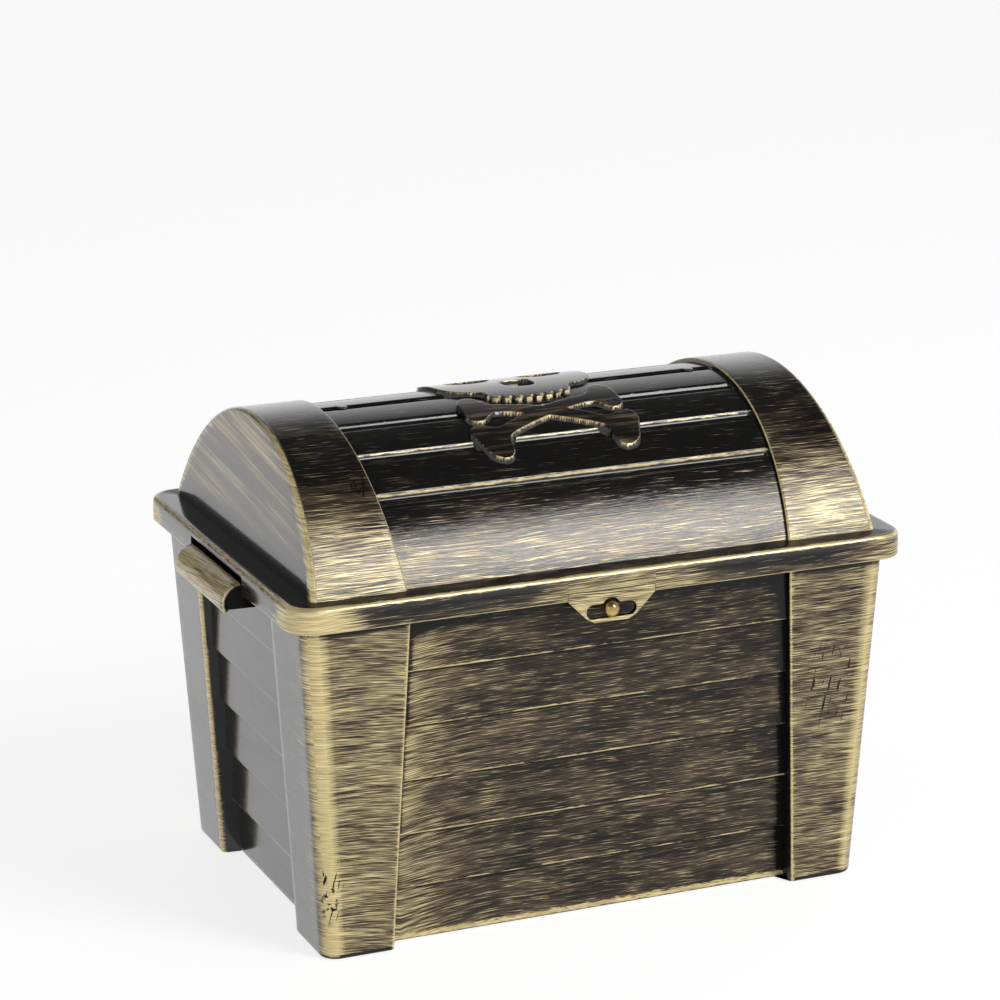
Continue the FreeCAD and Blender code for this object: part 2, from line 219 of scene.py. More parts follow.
# %% Streaks, ranges and colours
def streaks(brush, along, across, detail, rough, shift, lean=0.0):
    """Noise stretched along the strokes: features along by across millimetres in size, leaning by
    some degrees. The lean is a turn that comes before the stretch, so it has a node of its own."""
    tree = brush.socket.id_data
    turned = add_node(tree, "ShaderNodeVectorRotate", {"Vector": brush, "Angle": np.radians(lean)},
                      rotation_type="Z_AXIS")
    scale = (1 / (along * MM), 1 / (across * MM), 1)
    mapped = add_node(tree, "ShaderNodeMapping",
                      {"Vector": turned, "Scale": scale, "Location": (shift, shift, 0)})
    noise = {"Vector": mapped, "Scale": 1.0, "Detail": detail, "Roughness": rough}
    return add_node(tree, "ShaderNodeTexNoise", noise, noise_dimensions="2D")


def spread(value, low, high, to_low=0.0, to_high=1.0):
    """Stretches low..high to the new range on an S-curve, held at its ends."""
    limits = {"From Min": low, "From Max": high, "To Min": to_low, "To Max": to_high}
    return add_node(value.socket.id_data, "ShaderNodeMapRange", {"Value": value, **limits},
                    interpolation_type="SMOOTHSTEP")


def blend_colours(share, first, second):
    """First colour at 0, second at 1. The Mix node keeps its colours in sockets 6 and 7."""
    return add_node(share.socket.id_data, "ShaderNodeMix", {0: share, 6: first, 7: second}, output=2,
                    data_type="RGBA")


def bumps(height, strength, distance):
    """A surface normal tilted by the slope of a height."""
    inputs = {"Strength": strength, "Distance": distance, "Height": height}
    return add_node(height.socket.id_data, "ShaderNodeBump", inputs)


def start_material(name):
    """A node material holding one Principled shader."""
    material = bpy.data.materials.new(name)
    material.use_nodes = True
    return material, material.node_tree, material.node_tree.nodes["Principled BSDF"]


def tone(red, green, blue):
    """A screen colour from 0 to 255 as the linear colour that a shader takes, by the usual screen curve:
    a straight line near black and a power of 2.4 above."""
    c = np.array([red, green, blue]) / 255
    return (*np.where(c <= 0.04045, c / 12.92, ((c + 0.055) / 1.055) ** 2.4), 1.0)


print("mid grey as a shader takes it:", np.round(tone(128, 128, 128), 3))

# %% Dry-brushed gold on black gloss
BLACK_PLASTIC = tone(20, 19, 18)
THIN_PAINT, DEEP_PAINT, BRIGHT_PAINT = tone(178, 152, 124), tone(192, 171, 120), tone(244, 226, 171)
WAVER = 0.9 * MM


def paint_film(gold, even, hair, drag, broad, cloud):
    """How thick the paint lies: the gold layer, soft broad bands and clouds, and fine lines, which are
    stronger where there is more gold. Where the paint lies evenly, the lines give way to soft strokes."""
    lines = spread(drag, 0.25, 0.75, -0.14, 0.16) + spread(hair, 0.25, 0.75, -0.14, 0.16)
    lines = lines * spread(gold, -0.1, 0.15, 0.65, 1.4) + spread(hair, 0.6, 0.8, 0.0, 0.44)
    soft_strokes = spread(broad, 0.3, 0.7, -0.06, 0.16) + spread(drag, 0.3, 0.7, -0.04, 0.05)
    film = gold + spread(broad, 0.25, 0.75, 0.18, 0.28) + spread(cloud, 0.25, 0.75, -0.08, 0.07)
    return film + lines * spread(even, 0.0, 1.0, 1.0, 0.2) + even * soft_strokes


def knocked_off(brush, edge):
    """1 where paint is gone: the edge layer is below zero where the piece was knocked, and there
    scratches, and where it was knocked hard chips too, take it off."""
    chip = spread(streaks(brush, 1.7, 2.0, 3.0, 0.6, 71.3), 0.57, 0.6)
    scratch = spread(streaks(brush, 1.3, 9.0, 2.0, 0.5, 63.1, 10.0), 0.645, 0.675)
    chip = chip * spread(edge, -1.0, -0.7, 1.0, 0.0)
    return chip.or_more(scratch * spread(edge, -0.45, -0.2, 1.0, 0.0))


def brushed_gold_on_black():
    """A thin film of gold over black gloss. Its cover is an S-curve of the film, or of the rubbed edge
    where that is more. Thin paint is browner, and the strokes stand up as fine ridges."""
    material, tree, shader = start_material("brushed_gold_on_black")
    brush = add_node(tree, "ShaderNodeUVMap", uv_map="brush")
    gold, edge, gloss, even = (add_node(tree, "ShaderNodeAttribute", output="Fac", attribute_name=layer)
                               for layer in LAYERS)
    waver = (streaks(brush, 23.0, 9.0, 1.0, 0.5, 57.7) - 0.5) * WAVER
    offset = add_node(tree, "ShaderNodeCombineXYZ", {"Y": waver})
    wavy = add_node(tree, "ShaderNodeVectorMath", {0: brush, 1: offset}, operation="ADD")
    hair = streaks(wavy, 8.5, 0.22, 2.0, 0.6, 3.1, 1.2)
    drag = streaks(wavy, 18.0, 0.36, 2.0, 0.6, 19.4, -1.5)
    broad = streaks(wavy, 14.0, 1.6, 2.0, 0.5, 11.7)
    cloud = streaks(brush, 24.0, 7.0, 2.0, 0.5, 27.3)
    rub = streaks(brush, 3.0, 0.45, 2.0, 0.6, 41.9)
    paint = spread(paint_film(gold, even, hair, drag, broad, cloud), 0.0, 1.0)
    worn = edge + (rub - 0.5) * 0.9
    cover = paint.or_more(spread(worn, 0.35, 0.75)) * (1.0 - knocked_off(brush, edge))
    rich = blend_colours(spread(hair, 0.3, 0.7), DEEP_PAINT, BRIGHT_PAINT)
    paint_tone = blend_colours(spread(cover, 0.1, 0.6), THIN_PAINT, rich)
    ridges = cover * 0.25 + (hair + drag) * spread(gold, -0.45, 0.0, 0.03, 0.34)
    normal = bumps(ridges, 0.5, 0.1 * MM)
    feed(shader, {
        "Base Color": blend_colours(cover, BLACK_PLASTIC, paint_tone), "Metallic": cover * 0.35,
        "Roughness": spread(cloud, 0.3, 0.7, 0.2, 0.28) + cover * 0.16, "IOR": 1.25, "Normal": normal,
        "Coat Weight": gloss, "Coat Roughness": 0.08, "Coat IOR": 1.5, "Coat Normal": normal,
    })
    return material


finishes["brushed_gold_on_black"] = brushed_gold_on_black()
print("nodes of the main finish:", len(finishes["brushed_gold_on_black"].node_tree.nodes))

# %% [markdown]
# The ball of the latch is the only place with a full coat of gold, clouded a little. The two hinge
# pins are drawn steel wire, with fine scratches along them, and keep their measured solids.

# %% Solid gold and wire
def solid_gold():
    """Even gold paint, a little darker and rougher in small clouds."""
    material, tree, shader = start_material("bright_gold")
    place = add_node(tree, "ShaderNodeTexCoord", output="Object")
    cloud = add_node(tree, "ShaderNodeTexNoise",
                     {"Vector": place, "Scale": 900.0, "Detail": 3.0, "Roughness": 0.6})
    colour = blend_colours(spread(cloud, 0.35, 0.7), tone(200, 176, 118), tone(142, 116, 68))
    feed(shader, {"Base Color": colour, "Metallic": 0.85, "Normal": bumps(cloud, 0.25, 0.04 * MM),
                  "Roughness": spread(cloud, 0.3, 0.7, 0.14, 0.26)})
    return material


def drawn_wire():
    """Steel with fine scratches along X, the way it was pulled through the die."""
    material, tree, shader = start_material("pin_steel")
    place = add_node(tree, "ShaderNodeTexCoord", output="Object")
    mapped = add_node(tree, "ShaderNodeMapping", {"Vector": place, "Scale": (120.0, 4000.0, 4000.0)})
    drag = add_node(tree, "ShaderNodeTexNoise", {"Vector": mapped, "Scale": 1.0, "Detail": 2.0})
    colour = blend_colours(drag, tone(120, 120, 122), tone(176, 176, 180))
    feed(shader, {"Base Color": colour, "Metallic": 1.0, "Normal": bumps(drag, 0.2, 0.03 * MM),
                  "Roughness": spread(drag, 0.3, 0.7, 0.25, 0.42)})
    return material


finishes["bright_gold"] = solid_gold()
finishes["pin_steel"] = drawn_wire()
for pin in ("hinge_pin_left", "hinge_pin_right"):
    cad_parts[pin].data.materials.clear()
    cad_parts[pin].data.materials.append(finishes["pin_steel"])
print("finishes:", sorted(finishes))

# %% [markdown]
# The tub is one moulding: plank walls that step in towards the foot, a post at each corner, a lip
# at the top and a smooth inside. It could be boxes joined with booleans, but then no edge is rounded
# and nothing carries the brush strokes round a corner. Here its outline at one height is a path, and
# a stack of heights carries it from the middle of the underside, up the outside, over the lip and
# down the inside to the middle of the floor.

# %% One wall's outline
WALL_STEPS = {"plank": 31, "side": 3, "edge": 4, "post": 10, "corner": 5}
zone = np.repeat(list(WALL_STEPS), list(WALL_STEPS.values()))
POST_DRAFT, POST_EDGE, POST_CORNER = 0.15, 0.55, 3.5


def half_wall(inner, plank, post, reach, corner, edge):
    """Half a wall's outline at every height, from its middle to the middle of the corner.

    It runs evenly over the planks to the post's inner edge, out along the post's side, round the
    post's edge on a quarter circle, straight over the post, and on an eighth of a circle round the
    corner. Returns the distance along the wall and the depth, as grids of heights by steps.
    """
    sizes = (inner, plank, post, reach, corner, edge)
    inner, plank, post, reach, corner, edge = (np.asarray(v, float)[:, None] for v in sizes)
    run = 1 - (1 - np.linspace(0, 1, WALL_STEPS["plank"])) ** 1.25
    side = np.array([0.3, 0.7, 1.0])
    bend = np.radians(np.linspace(0, 90, WALL_STEPS["edge"] + 1))[1:]
    face = np.linspace(0, 1, WALL_STEPS["post"] + 1)[1:]
    turn = np.radians(np.linspace(0, 45, WALL_STEPS["corner"] + 1))[1:]
    flat_from = inner + POST_DRAFT + edge
    flat_to = reach - corner
    along = [inner * run, inner + POST_DRAFT * side, inner + POST_DRAFT + edge * (1 - np.cos(bend)),
             flat_from + (flat_to - flat_from) * face, flat_to + corner * np.sin(turn)]
    depth = [plank + 0 * run, plank + (post - edge - plank) * side, post - edge + edge * np.sin(bend),
             post + 0 * face, post - corner + corner * np.cos(turn)]
    return np.concatenate(along, 1), np.concatenate(depth, 1)


def whole_outline(front, end):
    """Joins four walls counter-clockwise seen from above, from the middle of the front back to it."""
    a, n = front
    b, m = end
    xs = [a, m[:, ::-1], m, a[:, ::-1], -a, -m[:, ::-1], -m, -a[:, ::-1]]
    ys = [-n, -b[:, ::-1], b, n[:, ::-1], n, b[:, ::-1], -b, -n[:, ::-1]]
    return np.concatenate(xs, 1), np.concatenate(ys, 1)


def closed(row):
    """A row with its first value repeated at the end, so that a ring of points closes."""
    return np.append(row, row[0])


def along_outline(on_front, on_end_front, on_end_back, on_back):
    """A value per step for the eight half walls, in the outline's order and closed: each of the four
    given arrays runs from a wall's middle to its corner."""
    return closed(np.concatenate([on_front, on_end_front[::-1], on_end_back, on_back[::-1],
                                  on_back, on_end_back[::-1], on_end_front, on_front[::-1]]))


print("steps in a half wall:", len(zone), "and round the tub:", 8 * len(zone))

# %% Heights of the tub's outside
TUB_TOP, LIP_FOOT, PITCH, COURSES = 77.3, 75.8, 12.3, 6
FOOT_ROUND, PLANK_ROUND = 0.7, 0.35


def course_rows(index):
    """Heights, plank inset and post inset of one course: its lower edge is a quarter circle, and
    even steps go on to just under the next course."""
    foot = PITCH * (COURSES - 1 - index)
    head = LIP_FOOT if index == 0 else foot + PITCH
    radius = FOOT_ROUND if index == COURSES - 1 else PLANK_ROUND
    quarter = np.radians(np.linspace(0, 90, 5))
    bend_z, bend_in = foot + radius * (1 - np.cos(quarter)), radius * (1 - np.sin(quarter))
    even = np.linspace(foot + radius + 0.45, head - 0.75, 8)
    z = np.concatenate([bend_z, even, [head - 0.35, head - 0.02]])
    inset = np.concatenate([bend_in, np.zeros(len(z) - len(bend_in))])
    on_post = inset if index == COURSES - 1 else 0 * inset
    return np.stack([z, inset, on_post, np.full(len(z), index)])


outside = np.concatenate([course_rows(i) for i in range(COURSES - 1, -1, -1)], 1)
rise, plank_inset, post_inset, course = outside
print("rows up the outside:", len(rise), "from", rise[0], "to", round(rise[-1], 2))

# %% [markdown]
# The posts and the room taper evenly, so each of their sizes is a pair: at the table and at the tub's
# top. The planks step in instead, by one amount per course. Plain rounded rectangles on the same
# steps make the underside, the lip and the floor.

# %% Outlines of the tub
POST_X, POST_Y = (62.3, 66.9), (42.0, 45.1)
FRONT_RUN, END_RUN = (46.6, 43.0), (24.3, 23.8)
TOP_PLANK_X, TOP_PLANK_Y, STEP_X, STEP_Y = 64.8, 43.2, 1.35, 1.08
ROOM_X, ROOM_Y, BAY_X, BAY_Y = (56.25, 63.0), (36.0, 41.4), (60.5, 65.1), (40.2, 43.3)
BAY_FRONT, BAY_END, BAY_EDGE, BAY_CORNER = (48.4, 44.8), (26.1, 25.6), 0.5, 1.7
PLAIN_EDGE = 0.3


def tapered(sizes, z):
    """A size that changes evenly from the table to the tub's top, at the heights z."""
    return sizes[0] + (sizes[1] - sizes[0]) * z / TUB_TOP


def outside_outline():
    """Plank and post outlines at each row: planks step in by course, posts taper evenly."""
    plank_x = TOP_PLANK_X - STEP_X * course - plank_inset
    plank_y = TOP_PLANK_Y - STEP_Y * course - plank_inset
    post_x, post_y = tapered(POST_X, rise) - post_inset, tapered(POST_Y, rise) - post_inset
    corner, edge = np.full(len(rise), POST_CORNER), np.full(len(rise), POST_EDGE)
    front = half_wall(tapered(FRONT_RUN, rise), plank_y, post_y, post_x, corner, edge)
    end = half_wall(tapered(END_RUN, rise), plank_x, post_x, post_y, corner, edge)
    return whole_outline(front, end)


def plain_outline(half_x, half_y, corner, inner_x=FRONT_RUN[1], inner_y=END_RUN[1]):
    """A rounded rectangle on the same steps as the walls, one row."""
    def flat_wall(inner, depth, reach):
        """Half a wall with no post: straight to where the corner's rounding starts."""
        row = [[v] for v in (inner, depth, depth, reach, corner, PLAIN_EDGE)]
        along, rounded = half_wall(*row)
        return along, np.where(zone == "corner", rounded, depth)

    return whole_outline(flat_wall(inner_x, half_y, half_x), flat_wall(inner_y, half_x, half_y))


def inside_outline(z):
    """The room inside: walls drawn in by their thickness, with a shallow bay in each post."""
    corner, edge = np.full(len(z), BAY_CORNER), np.full(len(z), BAY_EDGE)
    bay_x, bay_y = tapered(BAY_X, z), tapered(BAY_Y, z)
    front = half_wall(tapered(BAY_FRONT, z), tapered(ROOM_Y, z), bay_y, bay_x, corner, edge)
    end = half_wall(tapered(BAY_END, z), tapered(ROOM_X, z), bay_x, bay_y, corner, edge)
    return whole_outline(front, end)


print("room at the table and at the top, mm:", ROOM_X, ROOM_Y)

# %% The tub's grid
FLOOR = 1.8


def stack_rows(rows):
    """Level outlines (x, y, height) one over the other, with the first step repeated to close them."""
    x = np.concatenate([r[0] for r in rows])
    y = np.concatenate([r[1] for r in rows])
    z = np.concatenate([np.broadcast_to(np.reshape(r[2], (-1, 1)), r[0].shape) for r in rows])
    points = np.stack([x, y, z], -1)
    return np.concatenate([points, points[:, :1]], 1)


down = np.array([TUB_TOP - 0.35, TUB_TOP - 1.2, 70.0, 58.0, 46.0, 34.0, 22.0, 12.0, 6.0, 3.6, 2.3])
middle = (np.zeros((1, 8 * len(zone))), np.zeros((1, 8 * len(zone))))
floor_x, floor_y = inside_outline(np.array([FLOOR]))
underside = [
    (*middle, 0.0), (*plain_outline(28, 16, 3.0, 20, 10), 0.0), (*plain_outline(54, 34, 3.0), 0.0),
]
lip = [
    (*plain_outline(67.3, 45.8, 3.8), LIP_FOOT), (*plain_outline(67.6, 46.1, 4.0), LIP_FOOT + 0.3),
    (*plain_outline(67.6, 46.1, 4.0), TUB_TOP - 0.35), (*plain_outline(67.4, 45.9, 3.9), TUB_TOP - 0.05),
    (*plain_outline(67.1, 45.6, 3.8), TUB_TOP),
]
room = [
    (*inside_outline(np.array([TUB_TOP])), TUB_TOP), (*inside_outline(down), down),
    (floor_x * 0.985, floor_y * 0.985, FLOOR), (*plain_outline(50, 31, 2.0), FLOOR),
    (*plain_outline(26, 15, 2.0, 18, 9), FLOOR), (*middle, FLOOR),
]
tub_points = stack_rows([*underside, (*outside_outline(), rise), *lip, *room])
print("tub grid:", tub_points.shape)

# %% [markdown]
# Where the paint went matters as much as the shape. Fronts and backs were brushed all over, posts
# more than planks, and rounded corners are solid gold. The ends stayed nearly bare: there the brush
# only caught the edges that face forward. Underside and inside have none.

# %% Paint on the tub's zones
BARE = -2.0
wall_rows = slice(len(underside), len(underside) + len(rise))
wall_x = tub_points[wall_rows][..., 0]
facing_us = tub_points[wall_rows][..., 1] < -30
on_plank = along_outline(*[np.where(zone == "plank", s, 0.0) for s in (1.0, 0.6, 0.6, 1.0)])
above_edge = rise - PITCH * (COURSES - 1 - course)


def on_walls(elsewhere, *half_walls):
    """A value for the tub's grid: by steps of the outline on the rows outside, and one elsewhere."""
    values = np.full(tub_points.shape[:2], elsewhere)
    values[wall_rows] = along_outline(*half_walls)
    return values


def zone_paint():
    """Gold, edge and gloss per grid point from a level per zone of the outline: more gold where a post
    nears its corner, and on the ends only a rubbed line on the post edges that face forward."""
    brushed = {"plank": -0.06, "side": -0.9, "edge": 0.15, "post": 0.14, "corner": 0.85}
    bare = {"plank": -0.42, "side": -0.9, "edge": -0.3, "post": -0.3, "corner": -0.1}
    towards_corner = np.cumsum(zone == "post") / WALL_STEPS["post"]
    into_corner = np.cumsum(zone == "corner") / WALL_STEPS["corner"]
    front = np.array([brushed[z] for z in zone])
    front = front + np.where(zone == "post", 0.4 * soft_step(towards_corner, 0.88, 1.0), 0)
    end = np.array([bare[z] for z in zone]) + np.where(zone == "corner", 0.72 * into_corner, 0)
    end_front = end + np.where(zone == "post", 0.3 * towards_corner ** 2, 0)
    lit = np.zeros(len(zone))
    lit[zone == "edge"] = [0.4, 0.75, 0.85, 0.55]
    facing = np.where(zone == "edge", 0.9, 0.0)
    facing[zone == "side"] = [0.0, 0.1, 0.7]
    painted = np.where(np.isin(zone, ["post", "corner"]), 0.22, 0.14)
    clean = 1 - 0.7 * into_corner * (zone == "corner")
    return (on_walls(BARE, front, end_front, end, front), on_walls(0.0, lit, 0.3 * lit, facing, lit),
            on_walls(0.6, painted, clean, clean, painted))


tub_gold, tub_edge, tub_gloss = zone_paint()
print("gold on the tub from", tub_gold.min(), "to", round(tub_gold.max(), 2))


# %% Lines, shade and knocks on the tub
def rubbed_lines():
    """Rubbed lines on the planks: along each course's lower edge, uneven and a little weaker to the
    right, and along the foot."""
    lower_edge = (1 - soft_step(above_edge, 0.22, 0.6)) * (course < COURSES - 1)
    strength = 0.7 - 0.12 * soft_step(wall_x, -10, 40) + 0.36 * wobble(wall_x, rise[:, None], 4.5, 5.0)
    foot_line = soft_step(rise, 0.1, 0.6) * (1 - soft_step(rise, 0.9, 2.2)) * 0.8
    return on_plank * np.maximum(lower_edge[:, None] * strength, foot_line[:, None])


def plank_gold_and_painted_shade():
    """Gold more or less on the planks: more on the front near the left post, where the strokes began,
    differing by course. Less at the top of each course, a painted shade under the plank above, and less
    beside the posts, a painted shade in the recess there."""
    # Painted shade: the top of each lower course is darkened just under the plank above.
    painted_shade_under_plank = soft_step(above_edge, PITCH - 0.6, PITCH - 0.2) * (course > 0)
    from_post = tapered(FRONT_RUN, rise)[:, None] - np.abs(wall_x)
    uneven = 1 + 0.7 * wobble(0 * wall_x, course[:, None] + 0.5, 1.0, 1.0)
    near_left = uneven * np.exp(-np.clip(from_post - 1.5, 0, None) / 9.0) * (wall_x < 0)
    # Painted shade in the recess beside each post.
    painted_shade_beside_post = 1 - soft_step(from_post, 0.3, 1.9)
    on_front = (0.36 * near_left - 0.5 * painted_shade_beside_post) * facing_us * on_plank
    return on_front - 0.5 * painted_shade_under_plank[:, None] * (on_plank > 0)


def rim_painted_shade_and_bare_spots():
    """Gold taken off: on the front's right side and corner, a little on the upper front planks, and at
    the posts' feet, which are bare. Under the lid's rim it is painted shade: the planks darken from 70.8
    mm up, from lower down near the posts, and the posts in a thin line just under the skirt."""
    past_post = soft_step(wall_x - tapered(POST_X, rise)[:, None], -4.0, -1.0)
    on_right = (0.07 * soft_step(wall_x, 40, 50) + 0.52 * past_post) * facing_us
    shaded_to = 70.8 - 2.6 * (1 - soft_step(np.abs(wall_x), 43, 33)) * facing_us
    # Painted shade under the lid's rim: on the planks, and in a thin line on the posts.
    painted_shade_under_rim = soft_step(rise[:, None] - shaded_to, 0.0, 1.6) * on_plank
    on_post = soft_step(rise, 72.0, 73.0)[:, None] * (on_plank == 0)
    upper_front = soft_step(rise, 50, 62)[:, None] * on_plank * facing_us
    at_foot = (1 - soft_step(rise, 0.4, 1.1))[:, None] * (1 - on_plank)
    return on_right + 0.6 * painted_shade_under_rim + 0.9 * on_post + 0.05 * upper_front + 1.4 * at_foot


KNOCKS = ((-61.0, 13.0, 3.0, 9.0, 1.1), (54.5, 46.0, 8.0, 12.0, 0.6))
tub_gold[wall_rows] += plank_gold_and_painted_shade() - rim_painted_shade_and_bare_spots()
tub_edge[wall_rows] = np.maximum(tub_edge[wall_rows], rubbed_lines())
for at_x, at_z, wide, tall, hard in KNOCKS:
    knock = np.exp(-((wall_x - at_x) / wide) ** 2 - ((rise[:, None] - at_z) / tall) ** 2) * facing_us
    tub_edge[wall_rows] -= hard * knock * (on_plank == 0)
print("knocks on the front posts:", len(KNOCKS))


# %% The tub
def tub_brush():
    """Strokes run level: along x on the long walls and y on the ends, changing over in the middle of
    each corner, and by height, bent up near the left post."""
    x, y, z = (tub_points[..., i] for i in range(3))
    half = np.arange(tub_points.shape[1]) // len(zone)
    along = np.where(np.isin(half, [1, 2, 5, 6]), y + 300 * np.sign(x), x + 700 * (y > 0))
    swirl = (1.6 + wobble(0 * z, z, 5.0, 11.0)) * np.exp(-np.abs(x + 44) / 8) * (y < -30)
    drift = 0.5 * wobble(along, z, 21.0, 30.0)
    finer = along_outline(*[np.where(zone == "plank", s, 1.4) for s in (1.25, 1.4, 1.4, 1.25)])
    return along * np.minimum(finer, 1.25), (z + swirl + drift) * finer


tub_patch = patch(tub_points, tub_brush(), tub_gold, tub_edge, tub_gloss)
tub = lay_mesh("tub_moulding", "base", gather([tub_patch]))
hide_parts("base_tub")

# %% [markdown]
# The lid's dome is an arc of planks with shallow grooves, and a raised band at each end. One grid
# covers it: rows go over the arc from front to back, and columns run from the foot of the left end
# cap up to its edge, across band, planks and band, and down the right cap. The same grid, drawn in by
# the wall, lines the inside, and joining the two sheets along the foot closes the shell.

# %% The dome's rows
RIM_TOP, DOME_FOOT, DOME_RADIUS, DOME_MIDDLE, DOME_WALL = 79.3, 78.6, 47.772, 60.228, 2.0
PLANK_RADIUS = DOME_RADIUS - 1.0
GROOVE_DEPTH, GROOVE_PITCH = 0.85, 13.9
GROOVES = GROOVE_PITCH * np.arange(-3, 4)
FOOT_ANGLE = np.degrees(np.arccos((DOME_FOOT - DOME_MIDDLE) / PLANK_RADIUS))


def from_groove(angle):
    """The angle from the nearest groove, with its sign."""
    apart = angle[:, None] - GROOVES
    return apart[np.arange(len(angle)), np.abs(apart).argmin(1)]


def dome_angles():
    """Angles over the arc: even steps, with close rows across each groove's lips."""
    half = np.array([0.45, 0.7, 0.85, 1.0, 1.15, 1.3, 1.45, 1.6, 1.8, 2.1, 2.7])
    lips = np.concatenate([-half[::-1], [0.0], half])
    close = (GROOVES[:, None] + np.degrees(lips / PLANK_RADIUS)).ravel()
    even = np.linspace(-FOOT_ANGLE, FOOT_ANGLE, 64)
    far = np.abs(from_groove(even)) > np.degrees(3.0 / PLANK_RADIUS)
    return np.sort(np.concatenate([even[far], close]))


angles = dome_angles()
steepness = np.abs(angles)
groove_arc = np.radians(np.abs(from_groove(angles))) * PLANK_RADIUS
print("rows over the dome:", len(angles), "from", round(angles[0], 2), "degrees")

# %% A sheet of the dome
WING_STEPS = {"step": 2, "lip": 6, "band": 11, "shoulder": 6, "cap": 14}
BAND_START, BAND_LEAN, CAP_START, CAP_LEAN = 43.5, 0.097, 64.4, 0.105
BAND_DRAFT, BAND_LIP, SHOULDER = 0.1, 0.4, 0.95
close_run = np.linspace(0.975, 1, 9)
plank_run = np.concatenate([-close_run[::-1], np.linspace(-0.96, 0.96, 75), close_run])
wing_zone = np.repeat(list(WING_STEPS), list(WING_STEPS.values()))
dome_zone = np.concatenate([wing_zone[::-1], np.repeat("plank", len(plank_run)), wing_zone])


def dome_wing(inset, turn, band_x, cap_x):
    """From the planks' end outwards: the band's step, a draft wall and a quarter circle, its face, and
    the quarter circle between band and cap. Returns x and radius, as grids of angles by steps."""
    plank_r, band_r = PLANK_RADIUS - inset, DOME_RADIUS - inset
    bend = np.radians(np.linspace(0, 90, WING_STEPS["lip"]))
    step_r = plank_r + (band_r - BAND_LIP - plank_r) * np.array([0.35, 0.75])
    lip_x = band_x + BAND_DRAFT + BAND_LIP * (1 - np.cos(bend))
    lip_r = band_r - BAND_LIP + BAND_LIP * np.sin(bend)
    face = np.append(np.linspace(0, 1, WING_STEPS["band"] + 1)[1:-1], 0.985)
    face_run = cap_x - SHOULDER - band_x - BAND_DRAFT - BAND_LIP
    xs = [band_x + np.array([0.04, 0.08]), lip_x, band_x + BAND_DRAFT + BAND_LIP + face_run * face,
          cap_x - SHOULDER + SHOULDER * np.sin(bend)]
    rs = [step_r, lip_r, band_r + 0 * face, band_r - SHOULDER + SHOULDER * np.cos(bend)]
    return np.concatenate(xs, 1), np.concatenate(rs) + 0 * turn


def dome_sheet(inset):
    """Planks on one radius, bands on a larger one, leaning end caps on rays to the middle of the foot.

    Every point is a radius at an angle and an x. A groove is full depth in its middle and rises on an
    S-curve to each lip, and it ends just short of the bands.
    """
    turn = np.radians(angles)[:, None]
    height = DOME_MIDDLE + (DOME_RADIUS - inset) * np.cos(turn) - RIM_TOP
    band_x = BAND_START + inset + BAND_LEAN * height
    cap_x = CAP_START - inset - CAP_LEAN * height
    depth = GROOVE_DEPTH * (1 - soft_step(groove_arc, 0.4, 1.7))[:, None]
    ends = soft_step(np.abs(plank_run) * band_x, band_x - 0.15, band_x - 0.8)
    wing_x, wing_r = dome_wing(inset, turn, band_x, cap_x)
    x = np.concatenate([-wing_x[:, ::-1], band_x * plank_run, wing_x], 1)
    r = np.concatenate([wing_r[:, ::-1], PLANK_RADIUS - inset - depth * ends, wing_r], 1)
    y, z = r * np.sin(turn), DOME_MIDDLE + r * np.cos(turn)
    share = np.linspace(0, 1, WING_STEPS["cap"] + 1)[:-1] ** 0.8
    cap_y, cap_z = y[:, :1] * share, DOME_FOOT + (z[:, :1] - DOME_FOOT) * share
    lean = CAP_START - inset - CAP_LEAN * (cap_z - RIM_TOP)
    return np.stack([np.concatenate([-lean, x, lean[:, ::-1]], 1),
                     np.concatenate([cap_y, y, cap_y[:, ::-1]], 1),
                     np.concatenate([cap_z, z, cap_z[:, ::-1]], 1)], -1)


outer, inner = dome_sheet(0.0), dome_sheet(DOME_WALL)
print("dome sheet:", outer.shape, "columns over the planks:", len(plank_run))


# %% Paint on the dome
def across_wings(name, values):
    """A value per column that is zero but for one zone, with its values from planks to cap each side."""
    row = np.zeros(len(dome_zone))
    row[dome_zone == name] = [*values[::-1], *values]
    return row


def dome_gold():
    """Bands heavy with gold towards the foot, planks light but for the lowest, caps bare at the foot."""
    level = {"plank": -0.38, "step": -0.9, "lip": -0.18, "band": -0.22, "shoulder": 0.1, "cap": 0.06}
    low = 0.43 * soft_step(steepness, 26, 60)[:, None]
    lowest = 0.44 * soft_step(steepness, 36, 60)[:, None]
    cap_foot = 0.6 * (1 - soft_step(outer[..., 2] - RIM_TOP, 2.5, 7.5))
    gold = np.array([level[n] for n in dome_zone])
    gold = gold + np.where(np.isin(dome_zone, ["band", "lip", "shoulder"]), low, 0)
    return gold + np.where(dome_zone == "plank", lowest, 0) - np.where(dome_zone == "cap", cap_foot, 0)


def dome_edge():
    """Rubbed edges: the bands' two edges, and of each groove the lip that faces up, more so where the
    dome is steep. The left band was knocked low on its front."""
    ridge_line = across_wings("shoulder", [0.3, 0.9, 1.25, 1.25, 0.7, -0.1])
    lip_line = across_wings("lip", [0.2, 0.7, 1.0, 0.9, 0.4, 0.0])
    lip = ridge_line * (0.5 + 0.5 * soft_step(steepness, 5, 25))[:, None] + lip_line
    above = np.sign(angles) * from_groove(angles) < 0
    steep = np.interp(steepness, [8.0, *GROOVES[4:]], [0.1, 0.4, 0.65, 0.85])
    ridge = np.exp(-((groove_arc - 1.2) / 0.3) ** 2) * np.where(above, steep, 0.1)
    knock = np.exp(-((outer[..., 0] + 46.8) / 3.4) ** 2 - ((angles[:, None] + 37.0) / 5.0) ** 2)
    return np.maximum(lip, ridge[:, None] * (dome_zone == "plank")) - 1.7 * knock * (dome_zone == "band")


